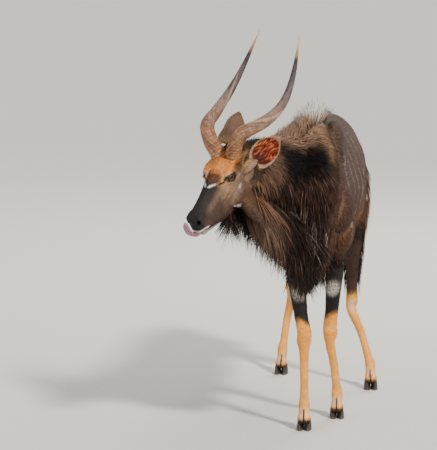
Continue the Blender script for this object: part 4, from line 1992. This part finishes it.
class Nodes:
    """Small helper that places and links shader nodes of one tree."""

    def __init__(self, tree: bpy.types.NodeTree) -> None:
        """Keeps the tree."""
        self.tree = tree

    def feed(self, node: bpy.types.Node, inputs: dict[str, object]) -> None:
        """Links or sets the named inputs of a node; a name of digits is the input's number."""
        for key, value in inputs.items():
            socket = node.inputs[int(key)] if key.isdigit() else node.inputs[key]
            if isinstance(value, bpy.types.NodeSocket):
                self.tree.links.new(value, socket)
            else:
                socket.default_value = value

    def add(self, kind: str, inputs: dict[str, object], **settings: object) -> bpy.types.Node:
        """Adds a node.

        Args:
            kind: type of the shader node.
            inputs: value or socket for each named input.
            settings: properties of the node.

        Returns:
            The node.
        """
        node = self.tree.nodes.new("ShaderNode" + kind)
        for key, value in settings.items():
            setattr(node, key, value)
        self.feed(node, inputs)
        return node

    def math(self, operation: str, a: object, b: object = 0.0) -> Socket:
        """Result of one sum."""
        return self.add("Math", {"0": a, "1": b}, operation=operation).outputs[0]

    def times(self, a: object, b: object) -> Socket:
        """Product of two values."""
        return self.math("MULTIPLY", a, b)

    def total(self, *values: object) -> Socket:
        """Sum of two or more values."""
        result = values[0]
        for value in values[1:]:
            result = self.math("ADD", result, value)
        return result

    def power(self, value: object, degree: float) -> Socket:
        """Power of the size of a value."""
        return self.math("POWER", self.math("ABSOLUTE", value), degree)

    def value(self, name: str) -> Socket:
        """A number stored on the piece."""
        return self.add("Attribute", {}, attribute_name=name).outputs["Fac"]

    def pelt(self) -> Socket:
        """The markings stored on the piece."""
        return self.add("Attribute", {}, attribute_name="pelt").outputs["Color"]

    def place(self) -> Socket:
        """Place on the piece, in its own axes."""
        return self.add("TexCoord", {}).outputs["Object"]

    def span(self, value: object, low: float, high: float, start: float = 0.0, end: float = 1.0) -> Socket:
        """Value that goes from start at low to end at high."""
        ends = {"Value": value, "From Min": low, "From Max": high, "To Min": start, "To Max": end}
        return self.add("MapRange", ends).outputs[0]

    def joined(self, x: object, y: object = 0.0, z: object = 0.0) -> Socket:
        """Vector of three values."""
        return self.add("CombineXYZ", {"X": x, "Y": y, "Z": z}).outputs[0]

    def noise(self, place: Socket, scale: object, detail: float, rough: float = 0.5,
              swirl: float = 0.0) -> Socket:
        """Cloudy noise from 0 to 1."""
        inputs = {"Vector": place, "Scale": scale, "Detail": detail, "Roughness": rough,
                  "Distortion": swirl}
        return self.add("TexNoise", inputs).outputs["Fac"]

    def wave(self, place: Socket, scale: float, swirl: float, fine: float, **settings: object) -> Socket:
        """Wavy bands from 0 to 1."""
        inputs = {"Vector": place, "Scale": scale, "Distortion": swirl, "Detail": 3.0, "Detail Scale": fine}
        return self.add("TexWave", inputs, **settings).outputs["Fac"]

    def ramp(self, value: object, stops: Sequence[tuple[float, Colour]]) -> Socket:
        """Colour along a ramp."""
        node = self.add("ValToRGB", {"Fac": value})
        ramp = node.color_ramp
        while len(ramp.elements) < len(stops):
            ramp.elements.new(0.5)
        for element, (place, colour) in zip(ramp.elements, stops):
            element.position = place
            element.color = (*colour, 1.0)
        return node.outputs["Color"]

    def mix(self, share: object, a: object, b: object, blend: str = "MIX") -> Socket:
        """Mix of two colours; a plain colour has three parts."""
        a, b = ((*colour, 1.0) if isinstance(colour, tuple) else colour for colour in (a, b))
        return self.add("Mix", {"0": share, "6": a, "7": b}, data_type="RGBA", blend_type=blend).outputs[2]

    def grain(self, scale: float, stretch: Sequence[float]) -> bpy.types.Node:
        """The shared uneven tone and relief."""
        return self.add("Group", {"Scale": scale, "Stretch": stretch}, node_tree=grain_group())

    def toned(self, grain: bpy.types.Node, low: float, high: float) -> Socket:
        """The markings with the tone of the grain, from low to high."""
        tone = self.span(grain.outputs["Tone"], 0.3, 0.7, low, high)
        grey = self.add("CombineColor", {"Red": tone, "Green": tone, "Blue": tone}).outputs[0]
        return self.mix(1.0, self.pelt(), grey, "MULTIPLY")


def grain_group() -> bpy.types.NodeTree:
    """Shared effect: uneven tone and fine relief, stretched along the body.

    Returns:
        A node group with Scale and Stretch inputs and Tone and Relief outputs.
    """
    found = bpy.data.node_groups.get("coat_grain")
    if found:
        return found
    tree = bpy.data.node_groups.new("coat_grain", "ShaderNodeTree")
    for name, way, kind in (("Scale", "INPUT", "Float"), ("Stretch", "INPUT", "Vector"),
                            ("Tone", "OUTPUT", "Float"), ("Relief", "OUTPUT", "Float")):
        tree.interface.new_socket(name, in_out=way, socket_type="NodeSocket" + kind)
    make = Nodes(tree)
    start = tree.nodes.new("NodeGroupInput")
    place = make.place()
    pulled = make.add("VectorMath", {"0": place, "1": start.outputs["Stretch"]}, operation="MULTIPLY")
    fine = make.noise(pulled.outputs[0], start.outputs["Scale"], 3.0)
    broad = make.noise(place, 26.0, 4.0)
    tone = make.total(make.times(fine, 0.6), make.times(broad, 0.4))
    make.feed(tree.nodes.new("NodeGroupOutput"), {"Tone": tone, "Relief": fine})
    return tree


@dataclass(frozen=True)
class Finish:
    """Base of every finish: a named material with one Principled shader."""

    name: str
    roughness: float = 0.6
    specular: float = 0.35

    def build(self) -> bpy.types.Material:
        """The material."""
        made = bpy.data.materials.new(self.name)
        made.use_nodes = True
        make = Nodes(made.node_tree)
        shader = made.node_tree.nodes["Principled BSDF"]
        make.feed(shader, {"Roughness": self.roughness, "Specular IOR Level": self.specular})
        make.feed(shader, self.looks(make))
        return made

    def looks(self, make: Nodes) -> dict[str, object]:
        """What goes into the shader's inputs."""
        return {}

    def bump(self, make: Nodes, height: Socket, distance: float, strength: float) -> Socket:
        """Normal of a relief."""
        inputs = {"Height": height, "Distance": distance, "Strength": strength}
        return make.add("Bump", inputs).outputs["Normal"]


@dataclass(frozen=True)
class CoatFinish(Finish):
    """Hair: the markings stored on the tufts, with an uneven tone."""

    stretch: tuple[float, float, float] = (1.0, 0.25, 0.5)
    contrast: float = 0.5

    def looks(self, make: Nodes) -> dict[str, object]:
        """Markings with grain."""
        grain = make.grain(420.0, self.stretch)
        return {"Base Color": make.toned(grain, 1 - self.contrast, 1 + self.contrast)}


@dataclass(frozen=True)
class SkinFinish(Finish):
    """Skin with its flat short fur as bump, and the bare pebbled nose."""

    def looks(self, make: Nodes) -> dict[str, object]:
        """Furred skin, and wet pebbles where it is bare."""
        bare = make.value("bare")
        grain = make.grain(700.0, (1.0, 0.22, 0.4))
        fur = make.toned(grain, 0.62, 1.18)
        cells = make.add("TexVoronoi", {"Vector": make.place(), "Scale": 520.0}, feature="DISTANCE_TO_EDGE")
        pebble = make.span(cells.outputs["Distance"], 0.0, 0.10)
        dark = make.mix(pebble, (0.004, 0.0035, 0.004), make.pelt())
        relief = make.add("Mix", {"0": bare, "2": grain.outputs["Relief"], "3": pebble}, data_type="FLOAT")
        return {
            "Base Color": make.mix(bare, fur, dark),
            "Roughness": make.span(bare, 0.0, 1.0, 0.72, 0.46),
            "Normal": self.bump(make, relief.outputs[0], 0.0009, 0.8),
        }


@dataclass(frozen=True)
class HornFinish(Finish):
    """Brown ridged horn that darkens upwards and ends in a worn pale tip."""

    def looks(self, make: Nodes) -> dict[str, object]:
        """Tone along the horn, mottled, streaked and ringed."""
        along, keel, flute = (make.value(name) for name in ("along", "keel", "flute"))
        base = make.ramp(along, [
            (0.00, linear(178, 130, 92)), (0.10, linear(160, 114, 78)), (0.40, linear(142, 108, 86)),
            (0.60, linear(142, 118, 106)), (0.74, linear(92, 82, 84)), (0.90, linear(46, 42, 48)),
            (0.935, linear(206, 160, 106)), (1.0, linear(244, 214, 168)),
        ])
        coarse = make.noise(make.place(), 45.0, 4.0, 0.6)
        pulled = make.joined(make.times(keel, 2.6), make.times(flute, 2.6), make.times(along, 4.0))
        streak = make.noise(pulled, 3.4, 4.0, 0.65)
        mottled = make.ramp(coarse, [(0.32, (0.45, 0.42, 0.40)), (0.66, (1.25, 1.20, 1.14))])
        lined = make.ramp(streak, [(0.38, (0.24, 0.21, 0.19)), (0.56, (1.20, 1.15, 1.09))])
        colour = make.mix(0.90, make.mix(0.75, base, mottled, "MULTIPLY"), lined, "MULTIPLY")
        pale = make.times(make.span(keel, 0.955, 0.998), make.span(along, 0.85, 0.70))
        colour = make.mix(make.times(pale, 0.45), colour, linear(196, 166, 128))
        ringed = make.times(make.wave(make.joined(along), 9.0, 3.0, 2.0), make.span(along, 0.75, 0.20))
        height = make.total(make.times(streak, 0.8), make.times(ringed, 0.5), make.times(coarse, 0.4))
        return {
            "Base Color": make.mix(make.times(ringed, 0.30), colour, linear(84, 60, 44)),
            "Roughness": make.span(along, 0.0, 1.0, 0.58, 0.34),
            "Normal": self.bump(make, height, 0.0022, 1.0),
        }


@dataclass(frozen=True)
class EarFinish(Finish):
    """Grey-brown furred back with a dark rim, cream edge, and orange-red skin deep inside."""

    def looks(self, make: Nodes) -> dict[str, object]:
        """Folded flesh in the cup, and fur on its back and edge."""
        along, across = make.value("along"), make.value("across")
        folds = make.noise(make.joined(make.times(across, 1.5), make.times(along, 1.4)), 2.3, 4.0, 0.55,
                           1.6)
        flesh = make.ramp(folds, [
            (0.36, linear(22, 8, 7)), (0.46, linear(104, 36, 20)),
            (0.56, linear(168, 78, 42)), (0.66, linear(212, 148, 104)),
        ])
        flesh = make.mix(make.times(make.span(along, 0.45, 0.22), 0.75), flesh, linear(30, 16, 13))
        ends = make.times(make.power(make.math("SUBTRACT", along, 0.50), 2.0), 5.5)
        middle = make.total(make.times(across, across), ends)
        hollow = make.mix(make.span(middle, 0.78, 0.98), flesh, linear(176, 136, 108))
        grain = make.noise(make.place(), 420.0, 3.0)
        back = make.ramp(grain, [(0.30, linear(74, 54, 43)), (0.70, linear(122, 94, 76))])
        back = make.mix(make.span(middle, 0.95, 1.2), back, linear(58, 44, 38))
        back = make.mix(make.span(along, 0.30, 0.12), back, linear(140, 110, 88))
        height = make.total(grain, make.times(folds, 0.8))
        return {
            "Base Color": make.mix(make.value("inside"), back, hollow),
            "Normal": self.bump(make, height, 0.0008, 0.8),
            "Subsurface Weight": 0.05,
            "Subsurface Radius": (0.006, 0.002, 0.001),
        }


@dataclass(frozen=True)
class EyeFinish(Finish):
    """Brown iris round a level pupil, under a clear wet coat."""

    def looks(self, make: Nodes) -> dict[str, object]:
        """Rings of the iris and the level pupil."""
        across, above = make.value("across"), make.value("above")
        away = make.math("SQRT", make.total(make.power(across, 2.0), make.power(above, 2.0)))
        iris = make.ramp(away, [
            (0.0, linear(30, 14, 7)), (0.34, linear(62, 30, 11)), (0.50, linear(104, 54, 20)),
            (0.58, linear(8, 5, 4)), (0.74, linear(14, 10, 9)),
        ])
        wide = make.power(make.math("DIVIDE", across, 0.36), 2.4)
        tall = make.power(make.math("DIVIDE", above, 0.19), 2.4)
        pupil = make.span(make.total(wide, tall), 1.15, 0.85)
        return {
            "Base Color": make.mix(pupil, iris, (0.0015, 0.0013, 0.0018)),
            "Coat Weight": 0.5,
            "Coat Roughness": 0.04,
        }


@dataclass(frozen=True)
class WetFinish(Finish):
    """Moist skin: the tongue, or the rims of the lids."""

    pale: Colour = linear(150, 100, 112)
    deep: Colour = linear(96, 66, 84)
    grain: float = 900.0

    def looks(self, make: Nodes) -> dict[str, object]:
        """Cloudy pink with small buds under a wet coat."""
        place = make.place()
        buds = make.add("TexVoronoi", {"Vector": place, "Scale": self.grain}).outputs["Distance"]
        colour = make.ramp(make.noise(place, 70.0, 4.0), [(0.35, self.deep), (0.65, self.pale)])
        return {
            "Base Color": make.mix(make.times(buds, 0.35), colour, self.pale),
            "Normal": self.bump(make, buds, 0.0004, 0.6),
            "Coat Weight": 0.5,
            "Coat Roughness": 0.2,
        }


@dataclass(frozen=True)
class ClawFinish(Finish):
    """Dark horn of the hooves with fine level lines, scuffed near the floor."""

    def looks(self, make: Nodes) -> dict[str, object]:
        """Level lines, with dust where the hoof meets the floor."""
        place = make.place()
        height = make.add("SeparateXYZ", {"Vector": place}).outputs["Z"]
        lines = make.wave(place, 95.0, 2.5, 3.0, bands_direction="Z")
        noise = make.noise(place, 160.0, 5.0)
        colour = make.ramp(lines, [(0.2, linear(30, 26, 26)), (0.8, linear(62, 54, 50))])
        dust = make.times(make.span(height, 0.010, 0.0), noise)
        return {
            "Base Color": make.mix(make.times(dust, 0.8), colour, linear(132, 112, 92)),
            "Roughness": make.span(noise, 0.0, 1.0, 0.32, 0.62),
            "Normal": self.bump(make, make.total(lines, make.times(noise, 0.5)), 0.0004, 0.7),
        }


@dataclass(frozen=True)
class FloorFinish(Finish):
    """Plain pale studio floor."""

    colour: Colour = linear(222, 219, 213)

    def looks(self, make: Nodes) -> dict[str, object]:
        """One flat colour."""
        return {"Base Color": (*self.colour, 1.0)}


@dataclass(frozen=True)
class Studio:
    """Pale floor, soft lights and the camera at the photograph's place."""

    camera_place: tuple[float, float, float] = (0.47102, -8.98767, 1.87)
    yaw: float = math.radians(-5.0229)
    pitch: float = math.radians(-7.5064)
    focal_pixels: float = 2740.0
    image_height: float = 450.0

    def floor(self) -> None:
        """A wide flat floor."""
        bm = bmesh.new()
        bmesh.ops.create_grid(bm, x_segments=1, y_segments=1, size=60.0)
        floor = new_piece("studio_floor", bm, smooth=False)
        floor.data.materials.append(FloorFinish("floor_finish", 0.85, 0.2).build())

    def light(self, name: str, place: Sequence[float], size: float, power: float, colour: Colour,
              kind: str = "AREA") -> None:
        """One soft light that looks at the animal: an area, or a broad even one from far away."""
        aim = (0, 0, 0.8)
        lamp = bpy.data.lights.new(name, kind)
        lamp.energy = power
        if kind == "AREA":
            lamp.size = size
        else:
            lamp.angle = size
        lamp.color = colour
        obj = bpy.data.objects.new(name, lamp)
        obj.location = place
        obj.rotation_euler = (Vector(aim) - Vector(place)).to_track_quat("-Z", "Y").to_euler()
        bpy.context.scene.collection.objects.link(obj)

    def build(self) -> None:
        """Floor, lights, world and camera."""
        self.floor()
        self.light("key", (3.0, -4.2, 4.8), math.radians(7), 4.1, (1.0, 0.95, 0.87), "SUN")
        self.light("fill", (-4.5, -3.5, 2.4), 3.5, 60, (0.93, 0.96, 1.0))
        self.light("rim", (1.5, 4.5, 4.2), 2.5, 200, (1.0, 0.97, 0.92))
        world = bpy.data.worlds.new("studio")
        world.use_nodes = True
        sky = world.node_tree.nodes["Background"]
        sky.inputs["Color"].default_value = (0.90, 0.92, 0.95, 1.0)
        sky.inputs["Strength"].default_value = 0.60
        bpy.context.scene.world = world
        lens = bpy.data.cameras.new("camera")
        lens.lens = self.focal_pixels * 36.0 / self.image_height
        lens.sensor_width = 36.0
        lens.clip_end = 120.0
        camera = bpy.data.objects.new("camera", lens)
        camera.location = Vector(self.camera_place) + SHIFT
        camera.rotation_euler = (math.pi / 2 + self.pitch, 0.0, -self.yaw)
        bpy.context.scene.collection.objects.link(camera)
        bpy.context.scene.camera = camera


@dataclass
class Bull:
    """The dressed animal."""

    def dress(self, obj: bpy.types.Object, material: bpy.types.Material, slot: str, *nodes: str) -> None:
        """Gives a piece its material and slot, and lets it stand for its CAD nodes."""
        obj.data.materials.clear()
        obj.data.materials.append(material)
        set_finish(obj, slot)
        if nodes:
            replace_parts(obj, *nodes)
        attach(obj, "root")
        LOG.info("%s: %d faces", obj.name, len(obj.data.polygons))

    def build(self) -> None:
        """Builds and dresses every piece in order."""
        skin = Flesh().build()
        places = corners(skin.data) - np.array(SHIFT)
        paint(skin.data, MARKINGS.of(places))
        tag(skin.data, "bare", MARKINGS.leather(places))
        flesh = ("head", "neck", "torso", "tail", *(leg.name for leg in LEGS))
        self.dress(skin, SkinFinish("skin_finish").build(), "body_coat", *flesh)
        horn = HornFinish("horn_finish", 0.5, 0.4).build()
        eye = EyeFinish("eye_finish", 0.20, 0.25).build()
        rim = WetFinish("lid_rim_finish", 0.3, 0.5, linear(40, 30, 28), linear(20, 15, 15)).build()
        ear = EarFinish("ear_finish", 0.75, 0.25).build()
        claw = ClawFinish("claw_finish", 0.45, 0.4).build()
        for side, flank in ((1, "left"), (-1, "right")):
            self.dress(Horn().build(side), horn, "horn", f"horn_{flank}")
            self.dress(Eyeball().build(side), eye, "eye", f"eye_{flank}")
            self.dress(LidRim().build(side), rim, "eye")
        ears = {}
        for which, flank in ((EarSide.LEFT, "left"), (EarSide.RIGHT, "right")):
            ears[which] = Ear().build(which)
            self.dress(ears[which], ear, "ear_skin", f"ear_{flank}")
        self.dress(Tongue().build(), WetFinish("tongue_finish", 0.32, 0.5).build(), "tongue", "tongue")
        for leg in LEGS:
            for side in (1, -1):
                self.dress(Claw(leg, side).build(), claw, "hoof")
        self.groom(skin, ears)

    def groom(self, skin: bpy.types.Object, ears: dict[EarSide, bpy.types.Object]) -> None:
        """Grows the coat on the skin and the ears, and dresses it."""
        short = CoatFinish("coat_finish", 0.72, 0.16, contrast=0.30).build()
        long = CoatFinish("long_coat_finish", 0.58, 0.18, contrast=0.25).build()
        groom = Groom(Scalp.of(skin), share=1.0)
        pieces = groom.build() + [groom.ear(which, obj) for which, obj in ears.items()]
        for piece in pieces:
            slot = piece["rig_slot"]
            self.dress(piece, long if slot == "long_coat" else short, slot)


def main() -> None:
    """Builds the scene."""
    logging.basicConfig(level=logging.INFO, format="%(message)s")
    Studio().build()
    Bull().build()


if __name__ == "__main__":
    main()
